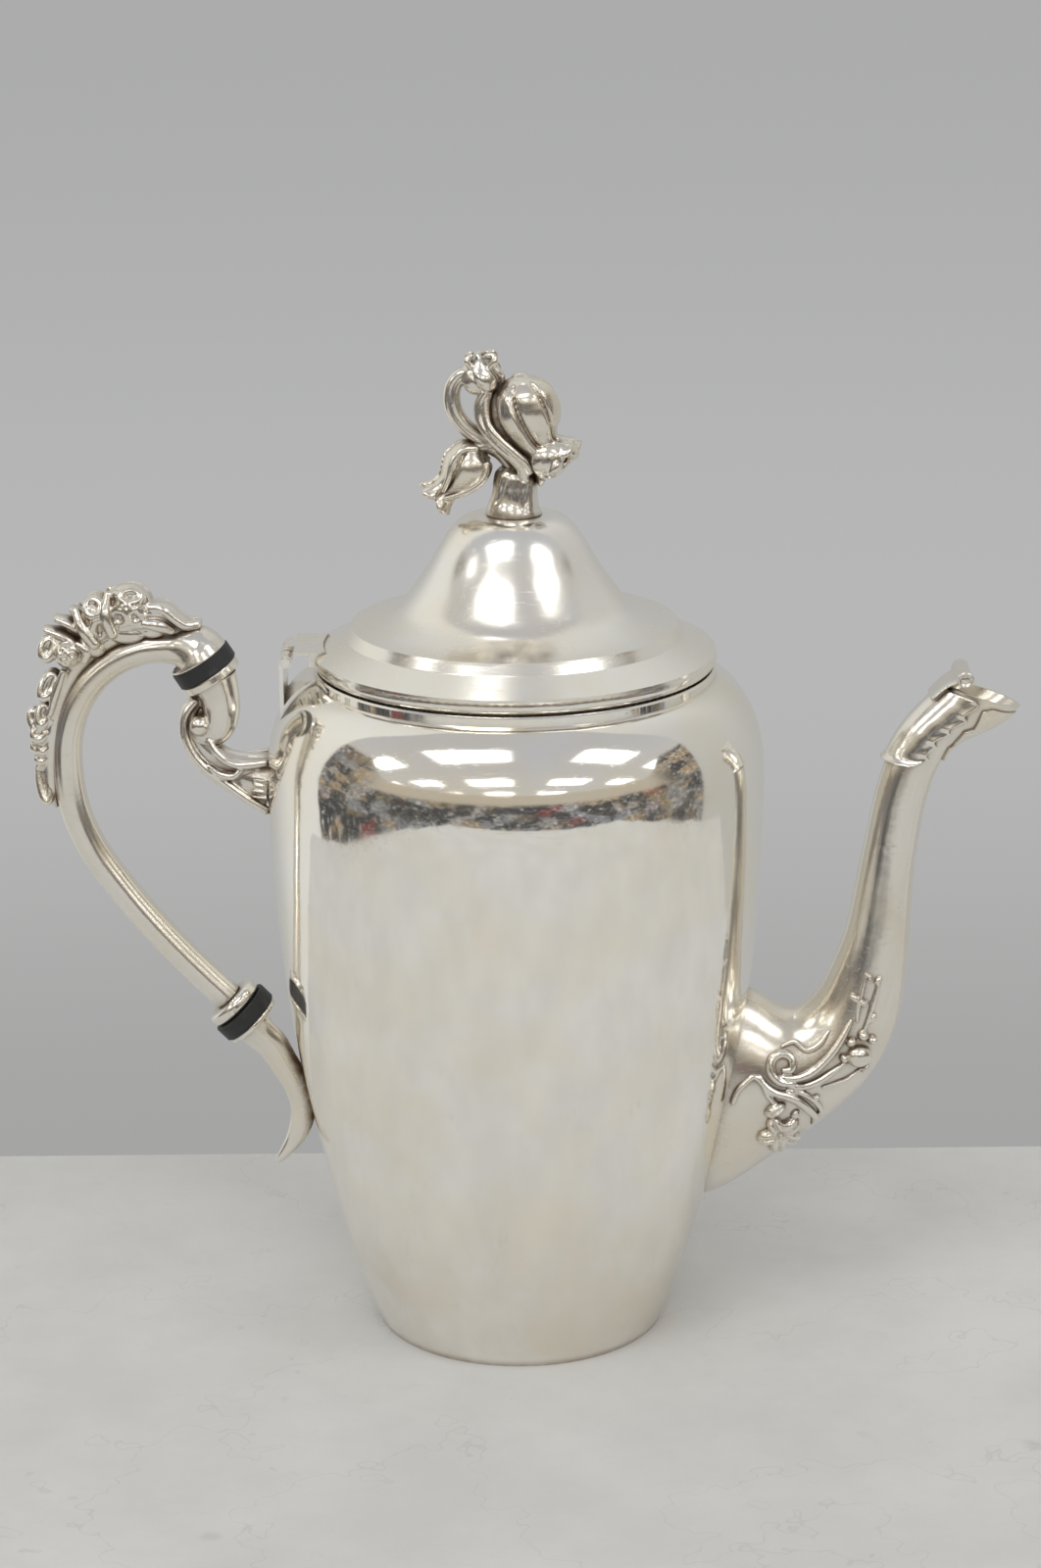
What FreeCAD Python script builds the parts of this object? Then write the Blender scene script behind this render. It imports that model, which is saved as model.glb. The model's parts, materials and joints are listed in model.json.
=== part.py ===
"""Silver coffee pot with a hinged lid, an S-shaped spout and a heat-insulated C handle.

Millimetres. The origin is the centre of the flat base, +Z is up, the spout points along +X
and the handle stands on the -X side. Every sub-part is its own solid in parts/NODE.step.
"""
import FreeCAD, Part
import math
import os

V = FreeCAD.Vector
UP = V(0, 0, 1)
ACROSS = V(0, 1, 0)
ORIGIN = V(0, 0, 0)
AROUND = 16

# Body: outer radius against height, from the flat base to the top of the shoulder.
WALL = 1.2
BODY_CURVE = [(37.0, 0.0), (42.2, 14.0), (49.5, 40.0), (57.8, 80.0), (61.8, 120.0), (62.7, 145.0),
              (61.6, 158.0), (58.3, 166.0), (54.6, 170.6), (50.2, 173.1)]
BASE_LIFT = 1.6
BASE_DOME = 1.8
BASE_FLAT = 34.0
BASE_EDGE = 38.5

# Mouth collar and the lid that sits over it.
COLLAR_OUTER = 50.2
COLLAR_INNER = 48.8
COLLAR_LOW = 170.6
COLLAR_TOP = 175.5
COLLAR_LIP = 0.45
LID_WALL = 1.0
RIM_RADIUS = 50.3
RIM_LOW = 176.2
RIM_HEIGHT = 3.55
RIM_BOW = 0.55
BRIM_INNER = 42.5
BRIM_TOP = 183.6
STEP_HEIGHT = 2.8
STEP_SLOPE = 1.15
BELL_CURVE = [(40.9, 186.4), (37.0, 187.5), (33.0, 189.0), (29.2, 191.0), (26.4, 194.0),
              (20.8, 202.0), (16.0, 210.0), (13.5, 212.5), (10.8, 213.8)]
CROWN_Z = 214.0
BEZEL_OUTER = 47.9
BEZEL_WALL = 1.0
BEZEL_LOW = 170.6

# Hinge: the pin lies across the pot, level with the lid's rim.
PIN_X = -57.0
PIN_Z = 179.0
PIN_RADIUS = 0.8
PIN_PLAY = 0.05
KNUCKLE_RADIUS = 1.6
HINGE_HALF = 9.5
LID_KNUCKLE_HALF = 3.6
KNUCKLE_GAP = 0.3
LEAF_THICK = 0.9
LEAF_HOOK_LOW = 177.5
LEAF_HOOK = (-54.9, -51.2, -48.0, -46.2)
SHEET = 1.0
BRACKET_LOW = 160.0
BRACKET_FOOT_TOP = 176.0

# Spout: the inner (throat) and outer edge of each cross-section, and its half-width.
SPOUT_WALL = 1.3
SPOUT_SECTIONS = [
    ((46.0, 92.0), (40.0, 26.0), 14.0),
    ((58.5, 89.0), (52.0, 33.8), 14.6),
    ((66.5, 84.3), (64.5, 42.2), 14.2),
    ((71.8, 83.3), (78.5, 52.8), 13.2),
    ((76.4, 87.0), (90.0, 63.8), 11.6),
    ((80.2, 94.5), (97.6, 79.5), 10.4),
    ((83.6, 103.6), (100.2, 98.0), 9.2),
    ((86.2, 116.0), (101.0, 115.5), 7.8),
    ((89.3, 133.0), (103.0, 134.0), 6.6),
    ((92.6, 147.0), (106.3, 146.8), 6.2),
    ((98.4, 159.0), (112.2, 154.4), 6.4),
    ((108.0, 169.6), (127.0, 163.6), 7.4),
]
MOUTH_OVERRUN = (4.0, 12.0)
LEAF_RISE = 1.2
LEAF_REGION = [(90.0, 155.0), (96.5, 150.5), (107.5, 160.5), (112.5, 167.2), (107.7, 168.8), (99.0, 172.0)]
CURL_X = 112.4
CURL_Z = 171.8
CURL_RADIUS = 2.1
CURL_HALF = 6.8
CURL_BORE = 1.1
STRAINER_Z = 62.0
STRAINER_HOLE = 1.5
STRAINER_RINGS = [(0, 1), (5.2, 6), (10.4, 12)]

# Handle: two insulator discs, the grip between them and a socket beyond each.
INSULATOR_RADIUS = 8.1
INSULATOR_THICK = 4.2
UPPER_DISC = (-78.0, 176.0)
UPPER_DIRECTION = (0.535, -0.845)
LOWER_DISC = (-70.6, 83.2)
LOWER_DIRECTION = (0.69, -0.724)
RING_RADIUS = 7.7
UPPER_RING_THICK = 2.4
LOWER_RING_THICK = 1.5
COLLAR_THICK = 3.6
UPPER_NECK_RADIUS = 6.0
LOWER_NECK_RADIUS = 5.6
SEAT_OVERLAP = 0.8
SEAT_CUT = 4.0
TENON_RADIUS = 2.6
TENON_LENGTH = 3.0
CROSS_PIN_RADIUS = 0.6
CROSS_PIN_LENGTH = 7.0
CROSS_PIN_START = 1.2
GRIP_PATH = [(-87.0, 180.6), (-90.8, 180.6), (-97.5, 178.7), (-104.2, 174.4), (-109.6, 167.6),
             (-112.7, 159.0), (-113.3, 149.5), (-111.9, 138.8), (-108.0, 128.6), (-101.6, 118.6),
             (-94.2, 108.8), (-87.0, 100.4), (-80.2, 93.1)]
GRIP_RADIUS = 3.9
FERRULE_RADIUS = 7.9
FERRULE_SECTIONS = [((-85.9, 175.0), (-74.6, 184.0), 7.4), ((-86.6, 176.2), (-79.2, 184.8), 5.7),
                    ((-88.2, 176.9), (-85.0, 184.6), 4.4), ((-91.0, 176.8), (-90.6, 184.4), 4.1)]
SOCKET_NECK = [((-74.2, 167.2), 5.0), ((-74.3, 162.2), 4.7), ((-76.9, 158.2), 3.9),
               ((-80.0, 158.6), 2.7), ((-80.6, 161.2), 1.9)]
SOCKET_ARM = [((-80.2, 167.4), 1.1), ((-83.0, 163.4), 1.6), ((-82.6, 158.0), 2.1),
              ((-79.8, 153.4), 3.2), ((-75.2, 149.9), 4.6), ((-69.5, 147.4), 5.9),
              ((-57.5, 145.2), 7.6)]
TAIL_PATH = [((-64.8, 75.4), 4.3), ((-61.4, 70.2), 3.8), ((-58.2, 64.4), 3.6),
             ((-56.3, 58.4), 3.4), ((-56.8, 52.6), 3.0), ((-58.8, 47.8), 2.3),
             ((-61.4, 44.0), 1.5), ((-63.2, 41.8), 0.7)]

# Floral spray on the grip's back: centre, half-length along the grip, half-height, half-width.
SPRAY_BLOOMS = [((-84.6, 187.4), 6.6, 2.2, 3.0), ((-98.4, 190.0), 6.6, 6.0, 5.8),
                ((-106.6, 187.0), 5.2, 5.6, 5.2), ((-113.2, 182.6), 4.4, 5.0, 4.6),
                ((-114.6, 175.4), 3.9, 3.9, 3.9), ((-118.0, 168.4), 4.2, 2.6, 3.4),
                ((-120.6, 158.6), 6.0, 3.0, 4.6), ((-119.4, 146.4), 8.2, 1.9, 2.4)]

# Finial: a trunk carrying two bell blossoms and a looped stem with a bud.
TRUNK_CURVE = [(6.5, 214.0), (6.2, 215.4), (5.7, 217.4), (5.5, 220.0), (6.0, 222.4)]
LARGE_BLOOM_TOP = (1.6, 247.6)
LARGE_BLOOM_MOUTH = (8.6, 226.6)
LARGE_BLOOM_CURVE = [(0.6, 0.0), (5.6, 1.6), (8.4, 6.4), (8.0, 13.0), (6.2, 17.6), (7.0, 20.4),
                     (9.8, 22.2)]
SMALL_BLOOM_TOP = (-9.6, 231.6)
SMALL_BLOOM_MOUTH = (-18.9, 217.6)
SMALL_BLOOM_CURVE = [(0.6, 0.0), (4.2, 1.4), (6.3, 5.6), (5.6, 10.6), (4.6, 13.0), (6.4, 15.6)]
BLOOM_CUP = 0.42
STEM_PATH = [((0.2, 223.0), 2.6), ((0.0, 228.0), 2.3), ((-4.6, 232.4), 2.0),
             ((-10.4, 235.4), 1.9), ((-15.0, 239.2), 1.9), ((-16.6, 244.0), 1.9),
             ((-14.2, 248.2), 1.8), ((-9.6, 249.6), 1.7)]
SMALL_STEM_PATH = [((-9.4, 231.2), 1.5), ((-6.6, 230.8), 1.5), ((-4.0, 227.8), 1.6),
                   ((-3.4, 222.0), 1.8)]
BUD_CENTRE = (-7.6, 249.6)
BUD_RADIUS = 4.6
STUD_RADIUS = 1.5
STUD_REACH = 7.0
WASHER_RADIUS = 4.5
WASHER_THICK = 0.8
NUT_ACROSS = 5.5
NUT_THICK = 2.4


def at(point, y=0.0):
    """A point of the handle and spout plane, given as (x, z)."""
    return V(point[0], y, point[1])


def spline(points):
    curve = Part.BSplineCurve()
    curve.interpolate([at(p) for p in points])
    return curve


def shifted(points, distance):
    """The same curve moved sideways: positive distance moves it to the left of its run."""
    curve = spline(points)
    moved = []
    for point in points:
        tangent = curve.tangent(curve.parameter(at(point)))[0]
        side = tangent.cross(ACROSS).normalize()
        moved.append((point[0] + side.x * distance, point[1] + side.z * distance))
    return moved


def outline(*runs):
    """Closed wire through runs of points: three or more make a curve, two make a straight."""
    edges = []
    last = None
    for run in list(runs) + [[runs[0][0]]]:
        if last is not None and at(last).distanceToPoint(at(run[0])) > 1e-6:
            edges.append(Part.makeLine(at(last), at(run[0])))
        if len(run) > 2:
            edges.append(spline(run).toShape())
        elif len(run) == 2:
            edges.append(Part.makeLine(at(run[0]), at(run[1])))
        last = run[-1]
    return Part.Wire(edges)


def turned(*runs):
    """A solid of revolution about the pot's axis."""
    return Part.Face(outline(*runs)).revolve(ORIGIN, UP, 360)


def ring(inner, outer, low, high):
    return turned([(inner, low), (outer, low)], [(outer, high), (inner, high)])


def prism(points, low_y, high_y):
    face = Part.Face(Part.makePolygon([at(p, low_y) for p in points + points[:1]]))
    return face.extrude(V(0, high_y - low_y, 0))


def skin(sections):
    """A solid with one smooth side surface through closed rows of points, and flat ends."""
    surface = Part.BSplineSurface()
    surface.interpolate(sections)
    side = surface.toShape()
    ends = [Part.Face(Part.Wire(edge)) for edge in side.Edges if edge.isClosed()]
    shell = Part.makeShell([side] + ends)
    shell.sewShape()
    solid = Part.makeSolid(shell.Shells[0])
    solid.fix(1e-6, 1e-6, 1e-3)
    if solid.Volume < 0:
        solid.reverse()
    return solid


def section(centre, along, in_plane, across):
    """A closed row of points on an ellipse that is square to 'along', a direction in XZ."""
    side = along.cross(ACROSS).normalize()
    points = []
    for step in range(AROUND + 1):
        turn = 2 * math.pi * (step % AROUND) / AROUND
        points.append(centre + side * (in_plane * math.cos(turn)) + ACROSS * (across * math.sin(turn)))
    return points


def casting(stations, width=1.0):
    """A tapering round bar through stations of ((x, z), radius)."""
    curve = spline([point for point, radius in stations])
    sections = []
    for point, radius in stations:
        tangent = curve.tangent(curve.parameter(at(point)))[0]
        sections.append(section(at(point), tangent, radius, radius * width))
    return skin(sections)


def disc(centre, direction, start, thickness, radius, edge=0.0):
    """A disc square to a direction in the XZ plane, from 'start' along it."""
    along = V(direction[0], 0, direction[1]).normalize()
    shape = Part.makeCylinder(radius, thickness, at(centre) + along * start, along)
    if edge:
        rims = [e for e in shape.Edges if isinstance(e.Curve, Part.Circle)]
        shape = shape.makeFillet(edge, rims)
    return shape


def along_axis(centre, direction, distance):
    scale = math.hypot(*direction)
    return (centre[0] + direction[0] / scale * distance, centre[1] + direction[1] / scale * distance)


def ellipsoid(centre, half_long, half_high, half_wide, tilt):
    """An egg with its long axis tilted 'tilt' degrees up from +X."""
    matrix = FreeCAD.Matrix()
    matrix.scale(half_long, half_wide, half_high)
    shape = Part.makeSphere(1.0).transformGeometry(matrix)
    shape.rotate(ORIGIN, ACROSS, -tilt)
    shape.translate(at(centre))
    return shape


def body_envelope():
    """The body's outer form, filled, used to fit every soldered part to its face."""
    return turned([(0, 0), (BODY_CURVE[0][0], 0)], BODY_CURVE, [BODY_CURVE[-1], (0, BODY_CURVE[-1][1])])


def body_shell():
    """The raised wall, open above and below, pierced behind the spout to hold back grounds."""
    inner = shifted(BODY_CURVE, WALL)
    foot = (inner[0][0] - 0.4, 0.0)
    roof = (COLLAR_OUTER, BODY_CURVE[-1][1] - WALL)
    below = (foot[0], -1.0)
    above = (roof[0], COLLAR_TOP)
    core = turned([(0, below[1]), below], [below, foot], [foot] + inner[1:-1] + [roof], [roof, above],
                  [above, (0, above[1])])
    shell = body_envelope().cut(core)
    shell.rotate(ORIGIN, UP, 180)
    for radius, count in STRAINER_RINGS:
        for step in range(count):
            turn = 2 * math.pi * (step + 0.5) / count
            start = V(45, radius * math.cos(turn), STRAINER_Z + radius * math.sin(turn))
            shell = shell.cut(Part.makeCylinder(STRAINER_HOLE, 25, start, V(1, 0, 0)))
    return shell


def base_disc(shell):
    """A slightly domed bottom plate, soldered just above the foot of the wall."""
    low = [(0, BASE_LIFT + BASE_DOME), (0.6 * BASE_FLAT, BASE_LIFT + 0.7 * BASE_DOME),
           (BASE_FLAT, BASE_LIFT)]
    high = [(x, z + WALL) for x, z in low]
    edge = [(BASE_EDGE, BASE_LIFT), (BASE_EDGE, BASE_LIFT + WALL)]
    plate = turned(low, edge, high[::-1])
    return plate.cut(shell)


def mouth_collar():
    lip = COLLAR_LIP
    return turned([(COLLAR_INNER, COLLAR_LOW), (COLLAR_OUTER, COLLAR_LOW)],
                  [(COLLAR_OUTER, COLLAR_LOW), (COLLAR_OUTER, COLLAR_TOP - lip)],
                  [(COLLAR_OUTER - lip, COLLAR_TOP), (COLLAR_INNER + lip, COLLAR_TOP)],
                  [(COLLAR_INNER, COLLAR_TOP - lip), (COLLAR_INNER, COLLAR_LOW)])


def bent_form(stations, grow=0.0, overrun=None):
    """A bent form through stations of (inner edge, outer edge, half-width), grown by 'grow'."""
    sections = []
    for inner, outer, half in stations:
        reach = at(outer) - at(inner)
        along = reach.cross(ACROSS).normalize()
        middle = (at(inner) + at(outer)) * 0.5
        sections.append(section(middle, along, reach.Length / 2 + grow, half + grow))
    if overrun:
        sections.append([point + at(overrun) for point in sections[-1]])
    return skin(sections)


def spout_form(grow, overrun=None):
    return bent_form(SPOUT_SECTIONS, grow, overrun)


def spout_shell(envelope):
    return spout_form(0.0).cut(spout_form(-SPOUT_WALL, MOUTH_OVERRUN)).cut(envelope)


def spout_leaf():
    """The leaf soldered on the throat side of the lip, ending above in a rolled curl."""
    skin_layer = spout_form(LEAF_RISE).cut(spout_form(0.0))
    back = prism(LEAF_REGION, -12, 12)
    leaf = skin_layer.common(back)
    curl = Part.makeCylinder(CURL_RADIUS, 2 * CURL_HALF, V(CURL_X, -CURL_HALF, CURL_Z), ACROSS)
    bore = Part.makeCylinder(CURL_BORE, 2 * CURL_HALF, V(CURL_X, -CURL_HALF, CURL_Z), ACROSS)
    neck = prism([(104.0, 166.0), (106.5, 166.5), (CURL_X, CURL_Z - CURL_RADIUS + 0.2),
                  (CURL_X - CURL_RADIUS + 0.2, CURL_Z)], -CURL_HALF + 0.8, CURL_HALF - 0.8)
    return leaf.fuse([curl, neck]).cut(spout_form(0.0)).cut(bore).removeSplitter()


def hinge_body_bracket(envelope, knuckles):
    """A folded sheet: the outer wall rises to the knuckles, the foot follows the shoulder."""
    left = PIN_X - KNUCKLE_RADIUS
    wall = prism([(left, BRACKET_LOW), (left + SHEET, BRACKET_LOW), (left + SHEET, PIN_Z),
                  (left, PIN_Z)], -HINGE_HALF, HINGE_HALF)
    relief = LID_KNUCKLE_HALF + KNUCKLE_GAP
    window = prism([(left - 1, PIN_Z - KNUCKLE_RADIUS - 0.7), (left + 3, PIN_Z - KNUCKLE_RADIUS - 0.7),
                    (left + 3, PIN_Z + 3), (left - 1, PIN_Z + 3)], -relief, relief)
    raised = turned([(0, 0), (BODY_CURVE[0][0], 0)], shifted(BODY_CURVE, -SHEET),
                    [(COLLAR_OUTER, BODY_CURVE[-1][1] + SHEET), (0, BODY_CURVE[-1][1] + SHEET)])
    right = -COLLAR_OUTER + 4
    foot = prism([(left, BRACKET_LOW), (right, BRACKET_LOW), (right, BRACKET_FOOT_TOP),
                  (left, BRACKET_FOOT_TOP)], -HINGE_HALF, HINGE_HALF).common(raised)
    inside = Part.makeCylinder(COLLAR_OUTER, 20, V(0, 0, 165))
    shape = wall.cut(window).fuse(foot.cut(inside)).cut(envelope)
    return shape.cut(knuckles).removeSplitter()


def knuckle(low_y, high_y):
    tube = Part.makeCylinder(KNUCKLE_RADIUS, high_y - low_y, V(PIN_X, low_y, PIN_Z), ACROSS)
    bore = Part.makeCylinder(PIN_RADIUS + PIN_PLAY, high_y - low_y, V(PIN_X, low_y, PIN_Z), ACROSS)
    return tube.cut(bore)


def hinge_body_knuckles():
    near = LID_KNUCKLE_HALF + KNUCKLE_GAP
    return Part.makeCompound([knuckle(-HINGE_HALF, -near), knuckle(near, HINGE_HALF)])


def hinge_lid_knuckle():
    return knuckle(-LID_KNUCKLE_HALF, LID_KNUCKLE_HALF)


def hinge_pin():
    """The pin is peened over a small countersunk head at both ends."""
    half = HINGE_HALF + 0.4
    pin = Part.makeCylinder(PIN_RADIUS, 2 * half, V(PIN_X, -half, PIN_Z), ACROSS)
    heads = []
    for side in (-1, 1):
        heads.append(Part.makeCylinder(PIN_RADIUS + 0.35, 0.4, V(PIN_X, side * HINGE_HALF, PIN_Z),
                                       V(0, side, 0)))
    return pin.fuse(heads).removeSplitter()


def hinge_lid_leaf(cover, rim):
    """A plate over the knuckles that turns down and back to the edge of the brim."""
    top = PIN_Z + KNUCKLE_RADIUS + LEAF_THICK
    under = top - LEAF_THICK
    outer, turn, end_low, end_top = LEAF_HOOK
    tongue = prism([(PIN_X - 0.4, under - 0.5), (outer + 0.9, under - 0.5), (outer + 0.9, top),
                    (PIN_X - 0.4, top)], -LID_KNUCKLE_HALF, LID_KNUCKLE_HALF)
    hook = prism([(outer, under), (turn, under), (turn, LEAF_HOOK_LOW), (end_low, LEAF_HOOK_LOW),
                  (end_top, top), (outer, top)], -HINGE_HALF, HINGE_HALF)
    shape = tongue.fuse(hook).cut(cover).cut(rim)
    shape = shape.cut(Part.makeCylinder(KNUCKLE_RADIUS, 40, V(PIN_X, -20, PIN_Z), ACROSS))
    core = Part.makeCylinder(RIM_RADIUS - 2.4, 30, V(0, 0, 165))
    pieces = shape.cut(core).removeSplitter().Solids
    return max(pieces, key=lambda piece: piece.Volume)


def lid_shell():
    brim_low = RIM_LOW + RIM_HEIGHT
    step_top = BRIM_TOP + STEP_HEIGHT
    under_bell = shifted(BELL_CURVE, LID_WALL)
    step_low = (BRIM_INNER - 0.1, BRIM_TOP + 0.15)
    step_high = (step_low[0] - STEP_SLOPE, step_top - 0.65)
    shape = turned([(RIM_RADIUS, brim_low), (BRIM_INNER, BRIM_TOP)], [step_low, step_high],
                   BELL_CURVE, [(BELL_CURVE[-1][0], BELL_CURVE[-1][1]), (0, CROWN_Z)],
                   [(0, CROWN_Z - LID_WALL), (under_bell[-1][0], CROWN_Z - LID_WALL - 0.2)],
                   under_bell[::-1],
                   [(step_high[0] - 0.65, step_top - 1.5),
                    (BRIM_INNER - LID_WALL - 0.3, BRIM_TOP - LID_WALL + 0.35)],
                   [(RIM_RADIUS - 0.4, brim_low - LID_WALL), (RIM_RADIUS, brim_low - 0.6)])
    return shape.cut(Part.makeCylinder(STUD_RADIUS, 20, V(0, 0, 200)))


def lid_rim_wire(shell):
    """The half-round bead soldered under the edge of the brim."""
    bead = turned([(BEZEL_OUTER, RIM_LOW), (RIM_RADIUS - RIM_BOW, RIM_LOW)],
                  [(RIM_RADIUS - RIM_BOW, RIM_LOW), (RIM_RADIUS + 0.15, RIM_LOW + 1.3),
                   (RIM_RADIUS, RIM_LOW + 2.9)],
                  [(RIM_RADIUS, RIM_LOW + RIM_HEIGHT - 0.2), (BEZEL_OUTER, RIM_LOW + RIM_HEIGHT + 0.6)])
    return bead.cut(shell)


def lid_bezel(shell):
    tube = ring(BEZEL_OUTER - BEZEL_WALL, BEZEL_OUTER, BEZEL_LOW, RIM_LOW + RIM_HEIGHT + 0.6)
    return tube.cut(shell)


def handle_grip():
    """The C-shaped grip, flaring at its upper end into a ferrule as wide as the insulator."""
    collar_start = -INSULATOR_THICK / 2 - COLLAR_THICK
    lower_end = along_axis(LOWER_DISC, LOWER_DIRECTION, collar_start + SEAT_OVERLAP)
    grip = casting([(point, GRIP_RADIUS) for point in GRIP_PATH] + [(lower_end, GRIP_RADIUS)], 1.05)
    grip = grip.cut(disc(LOWER_DISC, LOWER_DIRECTION, collar_start, SEAT_CUT, RING_RADIUS))
    face = along_axis(UPPER_DISC, UPPER_DIRECTION, -INSULATOR_THICK / 2)
    square = (-UPPER_DIRECTION[1], UPPER_DIRECTION[0])
    mouth = (along_axis(face, square, -FERRULE_RADIUS), along_axis(face, square, FERRULE_RADIUS),
             FERRULE_RADIUS)
    bell = bent_form([mouth] + FERRULE_SECTIONS)
    pocket = disc(UPPER_DISC, UPPER_DIRECTION, -INSULATOR_THICK / 2 - TENON_LENGTH, TENON_LENGTH,
                  TENON_RADIUS)
    return grip.fuse(bell).cut(pocket).removeSplitter()


def handle_lower_collar():
    start = -INSULATOR_THICK / 2 - COLLAR_THICK
    collar = disc(LOWER_DISC, LOWER_DIRECTION, start, COLLAR_THICK, RING_RADIUS - 0.2, 1.5)
    pocket = disc(LOWER_DISC, LOWER_DIRECTION, start + COLLAR_THICK - TENON_LENGTH, TENON_LENGTH,
                  TENON_RADIUS)
    return collar.cut(pocket)


def insulator(centre, direction, ring_thick):
    """A fibre disc with a tenon on both faces that seats in the fittings beside it."""
    body = disc(centre, direction, -INSULATOR_THICK / 2, INSULATOR_THICK, INSULATOR_RADIUS, 0.35)
    tenon_start = -INSULATOR_THICK / 2 - TENON_LENGTH
    tenon = disc(centre, direction, tenon_start, INSULATOR_THICK + TENON_LENGTH + ring_thick,
                 TENON_RADIUS)
    return body.fuse(tenon).removeSplitter()


def socket_ring(centre, direction, thickness):
    shape = disc(centre, direction, INSULATOR_THICK / 2, thickness, RING_RADIUS,
                 min(0.6, thickness * 0.4))
    return shape.cut(disc(centre, direction, 0, 10, TENON_RADIUS))


def seat_cutter(centre, direction, face):
    """Trims a casting flush with the ring it is soldered to."""
    return disc(centre, direction, face - SEAT_CUT, SEAT_CUT, RING_RADIUS + SEAT_CUT)


def handle_upper_socket(envelope):
    """Two scrolls in one casting: the neck curls back on itself, the arm flares to the body."""
    face = INSULATOR_THICK / 2 + UPPER_RING_THICK
    start = along_axis(UPPER_DISC, UPPER_DIRECTION, face - SEAT_OVERLAP)
    neck = casting([(start, UPPER_NECK_RADIUS)] + SOCKET_NECK, 0.92)
    neck = neck.cut(seat_cutter(UPPER_DISC, UPPER_DIRECTION, face))
    arm = casting(SOCKET_ARM, 0.85)
    return neck.fuse(arm).cut(envelope).removeSplitter()


def handle_lower_socket(envelope):
    face = INSULATOR_THICK / 2 + LOWER_RING_THICK
    start = along_axis(LOWER_DISC, LOWER_DIRECTION, face - SEAT_OVERLAP)
    tail = casting([(start, LOWER_NECK_RADIUS)] + TAIL_PATH, 0.95)
    return tail.cut(seat_cutter(LOWER_DISC, LOWER_DIRECTION, face)).cut(envelope)


def cross_pins(centre, direction):
    """Two short pins, one from each side, that lock a tenon in its fitting."""
    middle = at(along_axis(centre, direction, -INSULATOR_THICK / 2 - TENON_LENGTH * 0.55))
    pins = []
    for side in (-1, 1):
        start = middle + ACROSS * (side * CROSS_PIN_START)
        pins.append(Part.makeCylinder(CROSS_PIN_RADIUS, CROSS_PIN_LENGTH, start, ACROSS * side))
    return Part.makeCompound(pins)


def handle_flower_spray(grip):
    """A cast spray of blooms, buds and leaves, hollowed to lie along the back of the grip."""
    path = spline(GRIP_PATH)
    blooms = []
    for centre, half_long, half_high, half_wide in SPRAY_BLOOMS:
        tangent = path.tangent(path.parameter(at(centre)))[0]
        tilt = math.degrees(math.atan2(tangent.z, tangent.x))
        blooms.append(ellipsoid(centre, half_long, half_high, half_wide, tilt))
    rib = casting([((-82.0, 184.2), 1.2), ((-90.5, 185.4), 2.2), ((-99.6, 183.4), 2.4),
                   ((-107.6, 178.2), 2.4), ((-113.6, 170.4), 2.4), ((-117.2, 160.0), 2.2),
                   ((-117.8, 149.5), 1.8), ((-116.4, 140.0), 1.0)])
    return rib.fuse(blooms).cut(grip).removeSplitter()


def bell_bloom(top, mouth, curve):
    """A hanging bell blossom: the curve gives radius against distance from its top."""
    depth = math.hypot(mouth[0] - top[0], mouth[1] - top[1])
    scale = depth / curve[-1][1]
    sides = [(radius, -distance * scale) for radius, distance in curve]
    bell = turned([(0, 0), sides[0]], sides, [sides[-1], (0, -depth)])
    cup = Part.makeCone(curve[-1][0] - 0.9, 1.2, depth * BLOOM_CUP, V(0, 0, -depth - 0.01))
    bell = bell.cut(cup)
    tilt = math.degrees(math.atan2(mouth[0] - top[0], top[1] - mouth[1]))
    bell.rotate(ORIGIN, ACROSS, -tilt)
    bell.translate(at(top))
    return bell


def finial_trunk():
    foot = [(0, CROWN_Z), (TRUNK_CURVE[0][0], CROWN_Z)]
    trunk = turned(foot, TRUNK_CURVE, [TRUNK_CURVE[-1], (0, TRUNK_CURVE[-1][1])])
    bead = turned([(0, CROWN_Z), (6.9, CROWN_Z)], [(7.1, CROWN_Z + 0.6), (6.5, CROWN_Z + 1.3)],
                  [(0, CROWN_Z + 1.3), (0, CROWN_Z)])
    socket = Part.makeCylinder(STUD_RADIUS, STUD_REACH - 1.5, V(0, 0, CROWN_Z - 1))
    return trunk.fuse(bead).cut(socket).removeSplitter()


def finial_stud():
    low = CROWN_Z - LID_WALL - WASHER_THICK - NUT_THICK - 1.0
    return Part.makeCylinder(STUD_RADIUS, CROWN_Z - 1 + STUD_REACH - 1.5 - low, V(0, 0, low))


def finial_washer():
    low = CROWN_Z - LID_WALL - 0.2 - WASHER_THICK
    return ring(STUD_RADIUS, WASHER_RADIUS, low, low + WASHER_THICK)


def finial_nut():
    low = CROWN_Z - LID_WALL - 0.2 - WASHER_THICK - NUT_THICK
    corners = []
    for step in range(7):
        turn = math.radians(60 * step)
        reach = NUT_ACROSS / 2 / math.cos(math.radians(30))
        corners.append(V(reach * math.cos(turn), reach * math.sin(turn), low))
    hexagon = Part.Face(Part.makePolygon(corners)).extrude(V(0, 0, NUT_THICK))
    return hexagon.cut(Part.makeCylinder(STUD_RADIUS, NUT_THICK, V(0, 0, low)))


def finial_bud_stem(trunk):
    """The looped stem with its round bud and pointed sepals."""
    bud = Part.makeSphere(BUD_RADIUS, at(BUD_CENTRE))
    crown = Part.makeCone(2.6, 3.1, 3.0, at((BUD_CENTRE[0] - 0.6, BUD_CENTRE[1] + 2.1)))
    return casting(STEM_PATH).fuse([bud, crown]).cut(trunk).removeSplitter()


def largest(shape):
    return max(shape.Solids, key=lambda piece: piece.Volume)


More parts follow.
